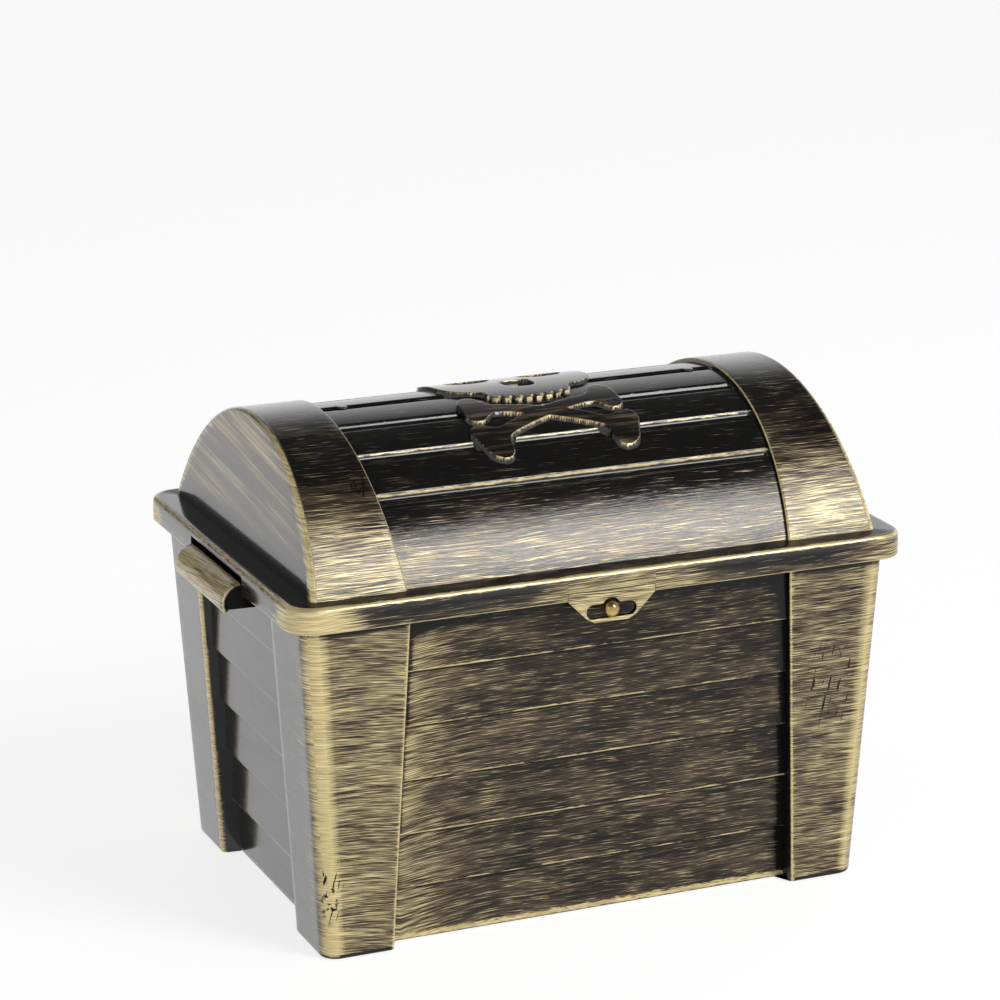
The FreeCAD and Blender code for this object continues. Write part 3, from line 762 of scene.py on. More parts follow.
def dome_gloss():
    """Full gloss on the caps, where the paint is thin, and more on top than low down elsewhere."""
    on_top = 1 - soft_step(steepness, 20, 45)[:, None]
    on_arc = np.where(dome_zone == "plank", 0.7 + 0.1 * on_top, 0.6 + 0.3 * on_top)
    return np.where(np.isin(dome_zone, ["cap", "shoulder"]), 1.0, on_arc)


dome_paint = (dome_gold(), dome_edge(), dome_gloss())
print("gold, edge and gloss on the dome, mean:", [round(float(v.mean()), 3) for v in dome_paint])


# %% The dome
def dome_brush(points, angle):
    """On the arc, strokes run along x; on the caps they run down at a slant, on a larger scale."""
    x, y, z = (points[..., i] for i in range(3))
    arc = np.radians(angle)[:, None] * DOME_RADIUS + 0 * x
    drift = 0.45 * wobble(x, arc, 19.0, 25.0)
    slant = np.radians(6)
    on_cap = np.isin(dome_zone, ["cap", "shoulder"])
    along = np.where(on_cap, 0.25 * (-y * np.cos(slant) - z * np.sin(slant)), x)
    across = np.where(on_cap, 0.5 * (-y * np.sin(slant) + z * np.cos(slant)) + 200, arc + drift)
    return along, across


dome_patches = [
    patch(outer, dome_brush(outer, angles), *dome_paint, dome_zone == "cap"),
    patch(inner[::-1], dome_brush(inner[::-1], angles[::-1]), BARE, 0.0),
]
for shut in (np.stack([inner[0], outer[0]]), np.stack([outer[-1], inner[-1]])):
    dome_patches.append(patch(shut, (shut[..., 0], shut[..., 1]), BARE, 0.0))
dome = lay_mesh("lid_dome", "lid", gather(dome_patches))
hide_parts("lid_shell")

# %% [markdown]
# The rim is the ledge round the dome's foot and the skirt below it. Its section, a bent strip with
# rounded edges, is carried once round a rounded rectangle. The skirt is cut away over each handle and
# behind the latch tab, so there the section's lower points move up.

# %% The rim's path
RIM_HALF_X, RIM_HALF_Y = 63.8, 42.3
TAB_CUT, HANDLE_CUT, CUT_STEP = 10.0, 16.6, 0.03


def straight_run(half_length, count, cut):
    """Even steps over a straight side, with a close pair at each end of the cut in its skirt."""
    pairs = [side * cut + step for side in (-1, 1) for step in (-CUT_STEP, CUT_STEP)]
    return np.sort(np.concatenate([np.linspace(-half_length, half_length, count), pairs]))


def rim_path():
    """Stations round a rectangle with quarter-circle corners, as a point and an outward direction.

    The point of a corner's stations is the middle of its circle. The path starts in the middle of the
    right end, where the handle hides the join of the strokes.
    """
    front_x, side_y = straight_run(RIM_HALF_X, 88, TAB_CUT), straight_run(RIM_HALF_Y, 60, HANDLE_CUT)
    bend = np.linspace(0, 90, 12)[1:-1]
    stretches = [
        (front_x, -RIM_HALF_Y, -90.0), (RIM_HALF_X, -RIM_HALF_Y, -90 + bend),
        (RIM_HALF_X, side_y, 0.0), (RIM_HALF_X, RIM_HALF_Y, bend),
        (front_x[::-1], RIM_HALF_Y, 90.0), (-RIM_HALF_X, RIM_HALF_Y, 90 + bend),
        (-RIM_HALF_X, side_y[::-1], 180.0), (-RIM_HALF_X, -RIM_HALF_Y, 180 + bend),
    ]
    x, y, facing = (np.concatenate(v) for v in zip(*(np.broadcast_arrays(*s) for s in stretches)))
    start = len(front_x) + len(bend) + len(side_y) // 2
    return (closed(np.roll(v, -start)) for v in (x, y, np.radians(facing)))


path_x, path_y, facing = rim_path()
print("stations round the rim:", len(path_x))

# %% The rim's section
SKIRT_FOOT, LEDGE_UNDER, TAB_ROOT, OVER_HANDLE = 73.8, 77.5, 75.58, 77.4
SKIRT_OUT, BROW_ROUND, SKIRT_ROUND, TAB_ROUND = 6.2, 1.1, 0.35, 0.03
on_ledge, on_brow, on_skirt, on_foot = slice(0, 4), slice(4, 10), slice(10, 13), slice(13, 18)


def rim_section(cut, radius):
    """The strip from the ledge's hidden inner edge, over its rounded brow, down the skirt, round its
    foot and up inside, as distance out from the path and height. cut is the lowest height left, and
    radius the foot's rounding there."""
    bend = np.radians(np.linspace(0, 90, 6))
    low, round_foot = cut[:, None], radius[:, None]
    one = np.ones_like(low)
    ledge_out = np.array([-0.2, 1.6, 3.4, 4.6])
    brow_out = SKIRT_OUT - BROW_ROUND + BROW_ROUND * np.sin(bend)
    foot_out = SKIRT_OUT - round_foot * (1 - np.cos(bend[1:]))
    inside_out = np.array([4.95, 4.6, 4.6, 4.6, 4.3, 2.0, -0.2])
    top_out = np.concatenate([ledge_out, brow_out, np.full(3, SKIRT_OUT)])
    brow = RIM_TOP - BROW_ROUND + BROW_ROUND * np.cos(bend)
    skirt = brow[-1] + (low + round_foot - brow[-1]) * np.array([0.25, 0.6, 1.0])
    foot = low + round_foot * (1 - np.sin(bend[1:]))
    middle, under = (low + LEDGE_UNDER) / 2, LEDGE_UNDER * one
    inside = [low, np.minimum(low + 0.3, middle), middle, np.maximum(under - 0.1, middle),
              under, under, under]
    top = one * np.concatenate([np.full(4, RIM_TOP), brow])
    return (np.concatenate([one * top_out, foot_out, one * inside_out], 1),
            np.concatenate([top, skirt, foot, *inside], 1))


def cut_height():
    """The skirt's foot at each station: lowest on plain runs, under the ledge over the handles and
    at the tab's root in the middle of the front."""
    on_end = (np.abs(path_x) > 60) & (np.abs(np.cos(facing)) > 0.9)
    at_tab = (np.abs(path_x) < TAB_CUT) & (np.sin(facing) < -0.9)
    over_handle = on_end & (np.abs(path_y) < HANDLE_CUT)
    return np.where(over_handle, OVER_HANDLE, np.where(at_tab, TAB_ROOT, SKIRT_FOOT))


cut = cut_height()
out, height = rim_section(cut, np.where(cut == TAB_ROOT, TAB_ROUND, SKIRT_ROUND))
rim_points = np.stack([path_x[:, None] + out * np.cos(facing)[:, None],
                       path_y[:, None] + out * np.sin(facing)[:, None], height], -1)
rim_points = np.concatenate([rim_points, rim_points[:, :1]], 1)
print("rim grid:", rim_points.shape)


# %% Paint on the rim
def rim_paint():
    """The brow is rubbed to bright gold, corners are nearly solid and fade along both sides, the skirt
    is streaked near its foot on the long sides, and the ledge and the inside stay black."""
    long_side = soft_step(np.abs(np.sin(facing)), 0.5, 0.95)
    near_corner = soft_step(np.abs(path_x), 52, RIM_HALF_X) * soft_step(np.abs(path_y), 33, RIM_HALF_Y)
    near_tab = (1 - soft_step(np.abs(path_x - 3), 9, 26)) * (path_y < 0)
    heavy = 0.95 - 0.62 * soft_step(path_x, 40, 60)
    level = (-0.2 + 0.06 * long_side + heavy * near_corner + 0.36 * near_tab)[:, None]
    gold, edge, gloss = (np.full(rim_points.shape[:2], value) for value in (BARE, 0.0, 1.0))
    gold[:, on_ledge] = -0.75
    gold[:, on_brow] = level - 0.1
    gold[:, on_skirt] = level + np.array([-0.1, 0.06, 0.14])
    gold[:, on_foot] = level + 0.1
    edge[:, on_brow] = np.array([0.1, 0.5, 0.85, 0.85, 0.55, 0.15]) * (0.85 + 0.15 * long_side)[:, None]
    foot_line = np.where(cut == TAB_ROOT, 0.0, 0.45 + 0.35 * long_side)
    edge[:, on_foot.start:on_foot.start + 3] = foot_line[:, None]
    gloss[:, on_skirt.start:on_foot.stop] = (1 - 0.7 * np.maximum(long_side, near_corner))[:, None]
    gloss[:, on_ledge] = (1 - 0.95 * long_side)[:, None]
    return gold, edge, gloss


def rim_brush():
    """Strokes run round the rim: distance along the path, and distance round the section."""
    skirt_top = rim_points[:, on_skirt.start, :2]
    along = np.cumsum(np.hypot(*np.diff(skirt_top, axis=0, prepend=skirt_top[:1]).T))[:, None]
    profile = rim_points[np.argmin(cut)]
    steps = np.linalg.norm(np.diff(profile, axis=0, prepend=profile[:1]), axis=1)
    around = np.cumsum(steps)[None, :]
    return along + 0 * around, around + 300 + 0.25 * wobble(along, around, 17.0, 9.0)


rim_patch = patch(rim_points[::-1], [b[::-1] for b in rim_brush()], *(v[::-1] for v in rim_paint()))
lay_mesh("lid_rim", "lid", gather([rim_patch]))

# %% [markdown]
# The emblem, a skull over two crossed bones, stands one millimetre proud of the planks. Carving it
# with booleans gives knife edges, so it is a field of heights instead: at every point of a fine grid
# the distance to the outline is worked out, and an S-curve of that distance is the height. Shapes
# join by taking the smaller distance, softly where a bone flares into its knuckles.

# %% Distances to plain outlines
TINY = 1e-6


def to_box(x, y, half_x, half_y, corner):
    """Distance to a rounded rectangle about the origin, negative inside."""
    qx, qy = np.abs(x) - half_x + corner, np.abs(y) - half_y + corner
    return np.hypot(np.maximum(qx, 0), np.maximum(qy, 0)) + np.minimum(np.maximum(qx, qy), 0) - corner


def to_oval(x, y, half_x, half_y):
    """Distance to an ellipse, to first order: k0 (k0 - 1) / k1 with the scaled lengths k0 and k1."""
    k0 = np.hypot(x / half_x, y / half_y) + TINY
    k1 = np.hypot(x / half_x ** 2, y / half_y ** 2) + TINY
    return k0 * (k0 - 1) / k1


def soft_join(a, b, reach):
    """The smaller of two distances, rounded off over the reach where they are close."""
    h = np.clip(0.5 + 0.5 * (b - a) / reach, 0, 1)
    return b + (a - b) * h - reach * h * (1 - h)


print("from the middle of a box of 4 by 2 to its side:", to_box(0.0, 0.0, 2.0, 1.0, 0.2))

# %% Distances to bones and skull
BONE_Y, BONE_SLOPE, BONE_BOW, BONE_END = -14.5, 0.361, 0.0079, 15.5
KNOB_APART, KNOB_RADIUS, KNOB_FLARE = 3.0, 2.35, 4.2
TEETH_BOW, TOOTH_PITCH = 0.02, 2.4


def to_bone(x, y, side):
    """A bowed shaft, its middle line a height plus a slope times x less a bow times x squared for one
    side and mirrored for the other, with two knuckles across each end that flare out of it."""
    def middle_line(x):
        """Height and slope of the shaft's middle line."""
        return BONE_Y + BONE_SLOPE * x - BONE_BOW * x ** 2, BONE_SLOPE - 2 * BONE_BOW * x

    x = side * x
    line_y, slope = middle_line(x)
    across = (y - line_y) / np.hypot(1, slope)
    past_end = 1.1 * np.maximum(np.abs(x) - BONE_END, 0)
    distance = np.hypot(past_end, across) - 1.6 - 0.35 * np.cos(x / 9) ** 2
    for tip in (-BONE_END, BONE_END):
        tip_y, slope = middle_line(tip)
        for apart in (-KNOB_APART, KNOB_APART):
            out = apart / np.hypot(1, slope)
            knob = np.hypot(x - tip + out * slope, y - tip_y - out) - KNOB_RADIUS
            distance = soft_join(distance, knob, KNOB_FLARE)
    return distance


def to_skull(x, y):
    """A broad brow and a narrower jaw with a bowed row of teeth, less the sockets, nose and gaps."""
    bow = TEETH_BOW * x ** 2
    brow = to_box(x, y - 9.1, 17.9, 11.8, 7.0)
    jaw = to_box(x, y + 1.6 - bow, 9.9, 7.1, 1.3)
    face = soft_join(brow, jaw, 2.4)
    eyes = to_oval(np.abs(x) - 8.5, y - 9.3, 5.0, 3.5)
    nose = to_box(x - 0.2, y - 1.7, 3.3, 3.1, 1.8)
    half_pitch = TOOTH_PITCH / 2
    gaps = to_box((x + half_pitch) % TOOTH_PITCH - half_pitch, y + 8.7 - bow, 0.36, 1.3, 0.3)
    return np.maximum(np.maximum(face, -eyes), np.maximum(-nose, -gaps))


print("half a bone's width in the middle, mm:", round(-to_bone(0.0, BONE_Y, 1), 2))

# %% The emblem's heights
EMBLEM_STEP = 0.19
EMBLEM_FOOT, EMBLEM_SHOWN, EMBLEM_UNDER = -1.15, -1.1, -1.5


def emblem_grid():
    """Heights over the planks: a steep wall at the outline, then a quarter round up to a flat top. A
    narrow gap parts the skull from the bones."""
    x, y = np.meshgrid(np.arange(-22.0, 22.01, EMBLEM_STEP), np.arange(-29.0, 22.01, EMBLEM_STEP))
    bones = np.minimum(to_bone(x, y, 1), to_bone(x, y, -1))
    skull = to_skull(x, y)
    inside = -np.minimum(bones, np.maximum(skull, -bones - 0.45))
    wall = soft_step(inside, -0.2, 0.1)
    crown = np.sqrt(1 - (1 - np.clip(inside / 0.36, 0, 1)) ** 2)
    return x, y, EMBLEM_FOOT + 1.8 * wall + 0.32 * crown, inside, bones < skull


def on_dome(x, y, radius):
    """Plan points lifted onto a round bar of that radius along the dome's axis, in one row."""
    return np.stack([x, y, DOME_MIDDLE + np.sqrt(radius ** 2 - y ** 2)], -1).reshape(-1, 3)


def emblem_faces(shown, top, under):
    """Cells of the grid that stand near the outline, on top and turned over below, and a wall along
    every cell side where a shown cell meets one that isn't."""
    pad = np.pad(shown, 1)
    rows, cols = shown.shape
    cells = [top[shown], under[shown][:, ::-1]]
    for (down, right), (a, b) in (((0, 1), (0, 1)), ((1, 2), (1, 2)), ((2, 1), (2, 3)), ((1, 0), (3, 0))):
        open_side = shown & ~pad[down:down + rows, right:right + cols]
        upper, lower = top[open_side], under[open_side]
        cells.append(np.stack([upper[:, b], upper[:, a], lower[:, a], lower[:, b]], 1))
    return np.concatenate(cells)


flat_x, flat_y, relief, inside, of_bone = emblem_grid()
rows, cols = relief.shape
near = relief > EMBLEM_SHOWN
shown = near[:-1, :-1] | near[:-1, 1:] | near[1:, :-1] | near[1:, 1:]
top_cells = corner_numbers(rows, cols).reshape(rows - 1, cols - 1, 4)
emblem_cells = emblem_faces(shown, top_cells, top_cells + rows * cols)
emblem_points = np.concatenate([on_dome(flat_x, flat_y, PLANK_RADIUS + relief),
                                on_dome(flat_x, flat_y, PLANK_RADIUS + EMBLEM_UNDER)])
print("emblem grid:", relief.shape, "cells shown:", int(shown.sum()))


# %% The emblem
def emblem_paint():
    """A thin even film on top and rubbed gold on the rounded shoulder. The shoulder where it faces the
    front, and the walls that face the front, most of all the teeth, carry extra gold that is partly
    rubbed gold and partly a painted highlight. The hidden underside has none."""
    facing_front = np.clip(np.gradient(inside, axis=0) / EMBLEM_STEP, 0, 1)
    in_teeth = (flat_y < -5.5 + TEETH_BOW * flat_x ** 2) & (np.abs(flat_x) < 10.2) & ~of_bone
    # Partly a painted highlight: extra gold on edges and walls that face the front, most on the teeth.
    shoulder = np.exp(-((inside - 0.2) / 0.13) ** 2) * (0.3 + 0.65 * facing_front)
    front_wall_gold_and_highlight = facing_front * soft_step(inside, -0.1, 0.0) * (1 - soft_step(inside, 0.3, 0.45))
    edge = np.maximum(shoulder, np.where(in_teeth, 0.72, 0.4 * of_bone) * front_wall_gold_and_highlight)
    gold = np.where(of_bone, -0.15, -0.36) - 0.7 * (1 - soft_step(inside, 0.02, 0.16))
    hidden = np.zeros(relief.size)
    return np.concatenate([gold.ravel(), hidden + BARE]), np.concatenate([edge.ravel(), hidden])


used, compact = np.unique(emblem_cells, return_inverse=True)
emblem_brush = np.stack([emblem_points[:, 0], emblem_points[:, 1] + 400], 1)
full = np.ones(len(emblem_points))
emblem_layers = {layer: v[used] for layer, v in zip(LAYERS, (*emblem_paint(), full, full))}
lay_mesh("lid_emblem", "lid", (emblem_points[used], emblem_brush[used], emblem_layers,
                               compact.reshape(emblem_cells.shape)))

# %% [markdown]
# Small turned pieces: a nail head near each band in the top groove, and the ball stud of the latch.
# Both are a profile turned round an axis, closed at the poles.

# %% Nails and ball stud
NAIL_RADIUS, NAIL_ROUND, NAIL_X = 1.1, 0.35, 40.8
BALL_RADIUS, SHANK_RADIUS, BALL_Y, BALL_Z = 1.797, 1.1, -48.2, 71.2


def turned(radius, height, around=24):
    """A profile of radius and height turned once round its axis: points (r cos a, r sin a, h)."""
    turn = np.linspace(0, 2 * np.pi, around + 1)[None, :]
    return radius[:, None] * np.cos(turn), radius[:, None] * np.sin(turn), height[:, None] + 0 * turn


def nail(side):
    """A flat-topped dome 2.2 mm wide, standing in the groove."""
    bend = np.radians(np.linspace(0, 90, 7))
    brow = NAIL_RADIUS - NAIL_ROUND + NAIL_ROUND * np.cos(bend)
    radius = np.concatenate([[0, NAIL_RADIUS], brow, [0.4, 0]])
    height = np.concatenate([[-0.6, -0.6], 0.95 + NAIL_ROUND * np.sin(bend), [1.32, 1.32]])
    x, y, z = turned(radius, height)
    foot = DOME_MIDDLE + PLANK_RADIUS - GROOVE_DEPTH - 0.1
    points = np.stack([x + side * NAIL_X, y, z + foot], -1)
    return patch(points, (x * 3, y * 3), -0.6, soft_step(height, 0.9, 1.2)[:, None] * 0.35)


def ball_stud():
    """A ball on a straight shank, turned round the Y axis; the shank runs back into the wall."""
    bend = np.radians(np.linspace(0, 142, 17))
    radius = np.concatenate([BALL_RADIUS * np.sin(bend), [SHANK_RADIUS, SHANK_RADIUS, 0]])
    height = np.concatenate([BALL_RADIUS * np.cos(bend), [-2.2, -6.75, -6.75]])
    x, z, y = turned(radius, height, 32)
    return patch(np.stack([x, BALL_Y - y, BALL_Z + z], -1), (x, y), 1.0, 1.0)


lay_mesh("lid_nails", "lid", gather([nail(-1), nail(1)]))
stud = lay_mesh("latch_ball", "base", gather([ball_stud()]), "bright_gold")
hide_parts("latch_stud")

# %% [markdown]
# A handle is a plate that leaves the wall under the lip and curls down into a hook. Its section, a
# strip of one thickness with a round end, is carried along the chest's end, and drawn in a little at
# both ends so that its edges are rounded. A flat web closes each end of the hook, so the finger gap is
# open only below. The web is a fan of rows from the curl's outline to the wall.

# %% The handle's section and webs
HOOK_X, HOOK_Z, HOOK_RADIUS, HOOK_HALF = 69.8, 71.9, 3.647, 0.65
PLATE_X, PLATE_Z, PLATE_TOP = np.array([64.6, 67.5, 67.6]), 75.55, 75.75
WEB_RADIUS, WEB_WALL, WEB_TOP, WEB_SPAN = 3.65, 64.75, 75.2, (15.6, 14.5)
curl = np.radians(np.linspace(0, 110, 23))


def hook_loop(inset):
    """The section's closed loop: along the outside of the curl, round its tip, and back inside."""
    tip = curl[-1] + np.radians(np.linspace(0, 180, 9)[1:-1])
    half = HOOK_HALF - inset
    mid_x, mid_z = HOOK_X + HOOK_RADIUS * np.sin(curl), HOOK_Z + HOOK_RADIUS * np.cos(curl)
    xs = [PLATE_X, mid_x + half * np.sin(curl), mid_x[-1] + half * np.sin(tip),
          (mid_x - half * np.sin(curl))[::-1], PLATE_X[::-1]]
    zs = [[PLATE_TOP, PLATE_TOP, PLATE_Z + half], mid_z + half * np.cos(curl),
          mid_z[-1] + half * np.cos(tip), (mid_z - half * np.cos(curl))[::-1], np.full(3, PLATE_Z - half)]
    return np.concatenate(xs), np.concatenate(zs)


def handle_webs(side):
    """Two plates about a millimetre thick. A row starts on the curl's middle line and ends on the wall,
    at a height that falls evenly from the plate to the tip; a plate's faces and its foot are one bent
    grid."""
    rim_x = np.concatenate([[65.5], HOOK_X + WEB_RADIUS * np.sin(curl)])
    rim_z = np.concatenate([[WEB_TOP], HOOK_Z + WEB_RADIUS * np.cos(curl)])
    wall_z = np.linspace(WEB_TOP, rim_z[-1] - 0.15, len(rim_x))
    share = np.linspace(0, 1, 5)[:, None]
    x = rim_x * (1 - share) + WEB_WALL * share
    z = rim_z * (1 - share) + wall_z * share
    webs = []
    for end in (-1, 1):
        face, back = (np.stack([side * x, 0 * x + end * y, z], -1) for y in WEB_SPAN)
        both = np.concatenate([face, back[:, ::-1]], 1)[::-end]
        webs.append(patch(both, (both[..., 0] + 560, both[..., 2]), -0.75, 0.0, 0.1))
    return webs


print("steps along the curl:", len(curl), "points round the section:", len(hook_loop(0.0)[0]))


# %% The handles
def handle_patches(side):
    """The loop at stations along Y, closed at both ends by strips across the section. The outside of
    the curl is brushed at a slant, and its tip and the edges of its ends are rubbed."""
    length = np.array([-15.7, -15.6, -15.35, -14.0, -10, -5, 0, 5, 10, 14.0, 15.35, 15.6, 15.7])
    inset = np.array([0.35, 0.12, 0, 0, 0, 0, 0, 0, 0, 0, 0, 0.12, 0.35])
    x, z = np.array([hook_loop(i) for i in inset]).transpose(1, 0, 2)
    y = np.broadcast_to(length[:, None], x.shape)
    points = np.stack([side * x, y, z], -1)
    points = np.concatenate([points, points[:, :1]], 1)
    count = x.shape[1]
    middle = len(length) // 2
    around = np.concatenate([[0], np.cumsum(np.hypot(np.diff(x[middle]), np.diff(z[middle])))])
    around = np.append(around, around[-1] + 1)
    along, slant = length[:, None], np.radians(-5)
    brush = (along * np.cos(slant) - around * np.sin(slant) + 500,
             along * np.sin(slant) + around * np.cos(slant))
    step = np.arange(count + 1)
    out_side, at_tip = (step > 3) & (step < 26), (step >= 25) & (step < 34)
    end_rim = (np.abs(length) > 15.5)[:, None] & (step > 7) & (step < 28)
    edge = np.where(at_tip, 0.4, 0) + np.where(end_rim, 0.9, 0)
    patches = [patch(points, brush, np.where(out_side, 0.44, -0.6), edge, np.where(out_side, 0.6, 0.1))]
    across = np.linspace(0, 1, 4)[:, None, None]
    rubbed = np.array([0.9, 0.5, 0.0, 0.0])[:, None]
    half = count // 2
    for end, order in ((0, 1), (-1, -1)):
        ring = points[end, :count]
        shut = (ring[:half] * (1 - across) + ring[::-1][:half] * across)[::order]
        patches.append(patch(shut, (shut[..., 0] + 500, shut[..., 2]), -0.5, rubbed[::order], 0.3))
    patches += handle_webs(side)
    return [{k: v[::-side] for k, v in p.items()} for p in patches]


for side, node in ((-1, "handle_left"), (1, "handle_right")):
    handle = lay_mesh("grab_" + node, "base", gather(handle_patches(side)))
    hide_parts(node)

# %% [markdown]
# The latch tab hangs from the front skirt. It is a thin plate with a slot that arches over the ball.
# Seen from the middle of the slot, both its outline and its hole are one distance per direction, so
# the plate is a ring: round the outline, across the front to the hole, through it, and back across
# the rear.

# %% The tab's outline and hole
TAB_BACK, SLOT_Z = -47.3, 70.9
SLOT_HALF, SLOT_END, ARCH_RADIUS, ARCH_LIFT = 1.55, 4.15, 2.1, 0.6
right_corners = np.array([(9.95, 75.5), (9.95, 73.8), (5.7, 69.5), (3.9, 68.5)])
tab_corners = np.concatenate([right_corners, right_corners[::-1] * (-1, 1)]) - (0, SLOT_Z)


def reach_of_outline(turn):
    """Distance from the slot's middle to the tab's outline: to the nearest of its sides that way."""
    run = np.roll(tab_corners, -1, axis=0) - tab_corners
    normal = np.stack([-run[:, 1], run[:, 0]], 1)
    normal = normal / np.linalg.norm(normal, axis=1)[:, None]
    offset = (normal * tab_corners).sum(1)
    rate = (np.cos(turn)[:, None] * normal[:, 0] + np.sin(turn)[:, None] * normal[:, 1]) * np.sign(offset)
    return np.min(np.where(rate > TINY, np.abs(offset) / np.maximum(rate, TINY), 1e3), axis=1)


def reach_of_slot(turn):
    """Distance from the slot's middle to its edge: the further of a round-ended slot and an arch."""
    c, s = np.cos(turn), np.sin(turn)
    level = SLOT_HALF / np.maximum(np.abs(s), TINY)
    round_end = SLOT_END * np.abs(c) + np.sqrt(np.maximum(SLOT_HALF ** 2 - (SLOT_END * s) ** 2, 0))
    slot = np.where(level * np.abs(c) <= SLOT_END, level, round_end)
    arch = ARCH_LIFT * s + np.sqrt(np.maximum(ARCH_RADIUS ** 2 - (ARCH_LIFT * c) ** 2, 0))
    return np.maximum(slot, arch)


def ring_turns(count, corners_x, corners_y):
    """Directions once round, closed: even steps, with one more towards each corner."""
    even = np.linspace(-np.pi, np.pi, count + 1)[:-1]
    return closed(np.sort(np.concatenate([even, np.arctan2(corners_y, corners_x)])))


straight_up = np.array([np.pi / 2])
print("outline and hole straight up, mm:", reach_of_outline(straight_up), reach_of_slot(straight_up))


# %% The latch tab
def tab_grid():
    """The ring's rows: outline behind, outline in front with a rounded edge, hole in front, hole
    behind. The gold thins out towards the skirt, where the rubbed edge ends."""
    turn = ring_turns(96, *tab_corners.T)
    out, hole = reach_of_outline(turn), reach_of_slot(turn)
    reach = np.stack([out, out, out - 0.03, out - 0.1, (out * 2 + hole) / 3, (out + 2 * hole) / 3,
                      hole + 0.25, hole + 0.06, hole, hole, out])
    depth = np.array([0, 1.1, 1.17, 1.2, 1.2, 1.2, 1.2, 1.12, 0.95, 0, 0])
    x, z = reach * np.cos(turn), reach * np.sin(turn) + SLOT_Z
    y = np.broadcast_to(TAB_BACK - depth[:, None], x.shape)
    gold = np.array([-1, -0.5, 0.4, 0.52, 0.52, 0.52, 0.4, 0.1, -0.5, -1, -1.5])[:, None]
    edge = np.array([0, 0.4, 0.8, 0.5, 0, 0, 0.5, 0.8, 0.3, 0, 0])[:, None]
    return patch(np.stack([x, y, z], -1), (x + 120, z + 500), gold - 0.34 * soft_step(z, 72.4, 75.0),
                 edge * soft_step(-z, -74.0, -73.4), 0.4)


tab = lay_mesh("latch_tab_plate", "latch", gather([tab_grid()]))
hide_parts("latch_tab")

# %% [markdown]
# Behind, the lid turns on two pins. Each hinge has a lid knuckle between two knuckles of the tub. A
# knuckle is a barrel with a hole and an arm, and seen from the pin its outline is the further of a
# circle and a block, so it too is one distance per direction, carried along the pin.

# %% Hinge knuckles
PIN_Y, PIN_Z, PIN_HOLE, LID_HOLE = 47.7, 71.1, 0.9, 0.96
BARREL_RADIUS, BROKEN_EDGE = 2.297, 0.25
TUB_ARM, LID_ARM = (-5.4, 0.0001, -2.3, 0.9), (-0.77, 0.77, -0.0001, 4.5)
HINGE_PLACES, TUB_SPANS, LID_SPANS = (-32.0, 32.0), ((-7.4, -3.4), (3.4, 7.4)), ((-3.0, 3.0),)


def knuckle_patch(low_x, high_x, arm, hole):
    """A barrel with an arm, the block arm = (y from, y to, z from, z to) about the pin, and a round
    hole, with the edges broken by a quarter of a millimetre."""
    turn = ring_turns(48, [arm[0], arm[1], arm[0], arm[1]], [arm[2], arm[2], arm[3], arm[3]])
    c, s = np.cos(turn), np.sin(turn)
    to_y = np.where(c > 0, arm[1], -arm[0]) / np.maximum(np.abs(c), TINY)
    to_z = np.where(s > 0, arm[3], -arm[2]) / np.maximum(np.abs(s), TINY)
    out, bore = np.maximum(BARREL_RADIUS, np.minimum(to_y, to_z)), 0 * turn + hole
    reach = np.stack([bore, out - BROKEN_EDGE, out, out, out - BROKEN_EDGE, bore, bore])
    x = np.array([low_x, low_x, low_x + BROKEN_EDGE, high_x - BROKEN_EDGE, high_x, high_x, low_x])
    x = x[:, None] + 0 * turn
    points = np.stack([x, PIN_Y + reach * c, PIN_Z + reach * s], -1)
    edge = np.array([0, 0.4, 0.5, 0.5, 0.4, 0, 0])[:, None]
    return patch(points[::-1], (x[::-1], turn * 3 + 700), -0.35, edge[::-1])


def hinge_row(spans, arm, hole):
    """One body's knuckles on both hinges, each over its span of x about the hinge's middle."""
    return gather([knuckle_patch(place + a, place + b, arm, hole)
                   for place in HINGE_PLACES for a, b in spans])


lay_mesh("tub_knuckles", "base", hinge_row(TUB_SPANS, TUB_ARM, PIN_HOLE))
lay_mesh("lid_knuckles", "lid", hinge_row(LID_SPANS, LID_ARM, LID_HOLE))

# %% [markdown]
# The table, the light and the camera. A pale table carries the chest's soft shadow. One large lamp in
# front, up to the right, is the bright window that shows in the dome's lower planks, and the world
# fades from white at the level of the table to dark overhead, as in a small photo tent.

# %% Table
TABLE_HALF, TABLE_STEPS, TABLE_DROP = 3.0, 13, 0.00005
WHITE, PALE, SEEN_PALE = (1, 1, 1, 1), (0.8, 0.8, 0.8, 1), (0.34, 0.34, 0.34, 1)


def pale_table():
    """A flat sheet a few metres wide, just under the chest."""
    side = np.linspace(-TABLE_HALF, TABLE_HALF, TABLE_STEPS)
    x, y = np.meshgrid(side, side)
    points = np.stack([x, y, 0 * x - TABLE_DROP], -1).reshape(-1, 3)
    mesh = bpy.data.meshes.new("table")
    mesh.from_pydata(points.tolist(), [], corner_numbers(TABLE_STEPS, TABLE_STEPS).tolist())
    table = bpy.data.objects.new("table", mesh)
    bpy.context.scene.collection.objects.link(table)
    return table


def table_white():
    """White to the camera and in reflections where no shadow falls, and a plain pale surface to
    everything else."""
    material, tree, shader = start_material("table_white")
    camera_ray, glossy_ray, clear_ray = (add_node(tree, "ShaderNodeLightPath", output="Is %s Ray" % kind)
                                         for kind in ("Camera", "Glossy", "Transmission"))
    seen = camera_ray.or_more(glossy_ray).or_more(clear_ray)
    feed(shader, {"Base Color": blend_colours(seen, PALE, SEEN_PALE), "Roughness": 0.8,
                  "Emission Color": WHITE, "Emission Strength": seen * 0.8})
    return material


table = pale_table()
table.data.materials.append(table_white())
print("table:", len(table.data.polygons), "faces")

# %% World
TENT_OPENING = Vector((-0.45, 0.87, 0.2)).normalized()


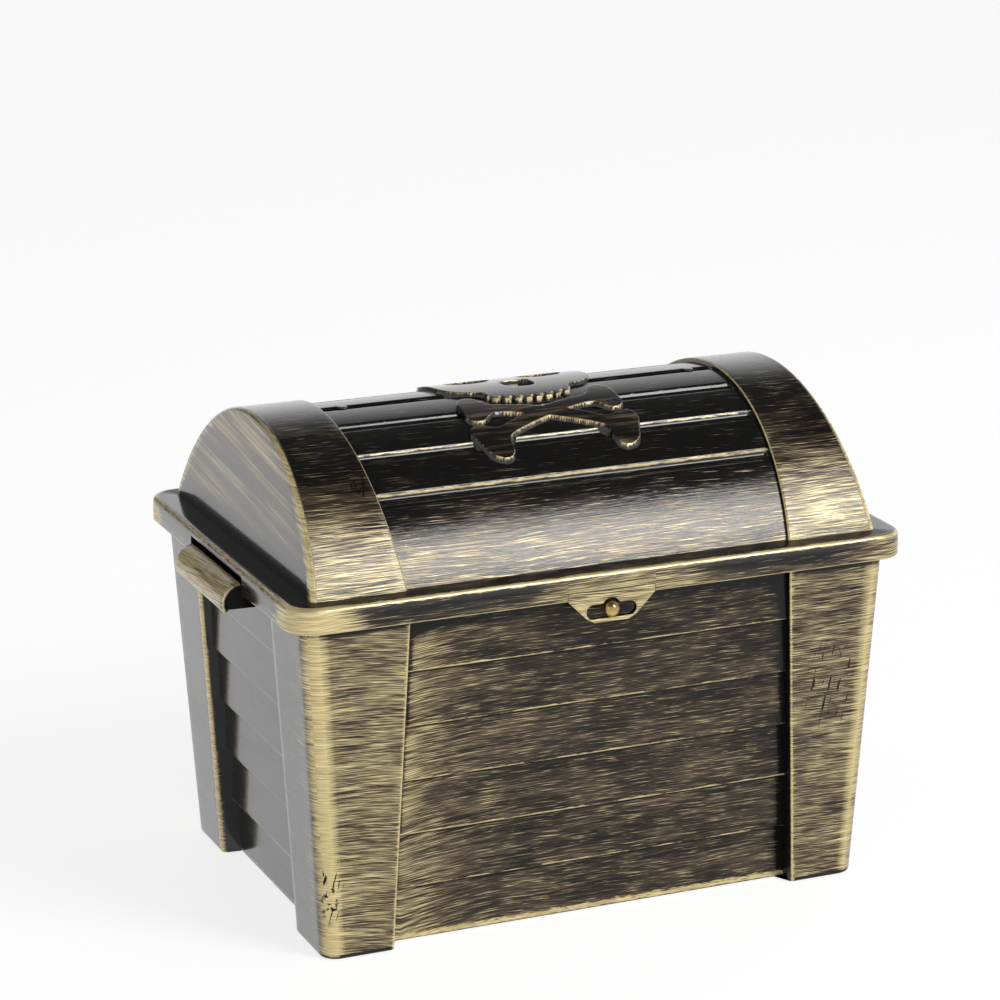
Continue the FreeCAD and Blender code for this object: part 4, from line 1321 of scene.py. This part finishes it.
def tent_world():
    """White to the camera; for light and reflections white at the horizon, dark overhead and at the
    tent's opening, which is behind to the left."""
    world = bpy.data.worlds.new("tent")
    bpy.context.scene.world = world
    world.use_nodes = True
    tree = world.node_tree
    direction = add_node(tree, "ShaderNodeTexCoord", output="Generated")
    up = add_node(tree, "ShaderNodeSeparateXYZ", {"Vector": direction}, output="Z")
    towards = add_node(tree, "ShaderNodeVectorMath", {0: direction, 1: TENT_OPENING}, output="Value",
                       operation="DOT_PRODUCT")
    fade = spread(up, 0.3, 0.72, 0.95, 0.06) * spread(towards, 0.88, 0.97, 1.0, 0.12)
    camera_ray = add_node(tree, "ShaderNodeLightPath", output="Is Camera Ray")
    strength = add_node(tree, "ShaderNodeMix", {0: camera_ray, 2: fade, 3: 1.0}, data_type="FLOAT")
    feed(tree.nodes["Background"], {"Color": WHITE, "Strength": strength})
    return world


print("world:", tent_world().name)


# %% Lamp
def softbox(name, place, aim, wide, high, watts):
    """A rectangular lamp that faces the aim point."""
    lamp = bpy.data.lights.new(name, "AREA")
    lamp.shape = "RECTANGLE"
    lamp.size, lamp.size_y, lamp.energy = wide, high, watts
    holder = bpy.data.objects.new(name, lamp)
    holder.location = place
    holder.rotation_mode = "QUATERNION"
    holder.rotation_quaternion = (Vector(aim) - Vector(place)).to_track_quat("-Z", "Y")
    bpy.context.scene.collection.objects.link(holder)


softbox("front_window", place=(0.47, -0.80, 0.80), aim=(0, 0, 0.07), wide=0.4, high=0.5, watts=6.9)

# %% Camera
CAMERA_PLACE, CAMERA_AIM = Vector((-0.29658, -0.68789, 0.299146)), Vector((-0.004538, 0.0, 0.082336))
LENS, SENSOR, CAMERA_ROLL = 128.396, 36.0, np.radians(-0.23)
scene = bpy.context.scene
lens = bpy.data.cameras.new("camera")
lens.lens, lens.sensor_width = LENS, SENSOR
camera = bpy.data.objects.new("camera", lens)
scene.collection.objects.link(camera)
camera.location = CAMERA_PLACE
sight = CAMERA_AIM - camera.location
camera.rotation_mode = "QUATERNION"
camera.rotation_quaternion = sight.to_track_quat("-Z", "Y") @ Quaternion((0, 0, 1), CAMERA_ROLL)
scene.camera = camera
scene.view_settings.view_transform = "Standard"
print("camera", round(sight.length, 3), "m away")
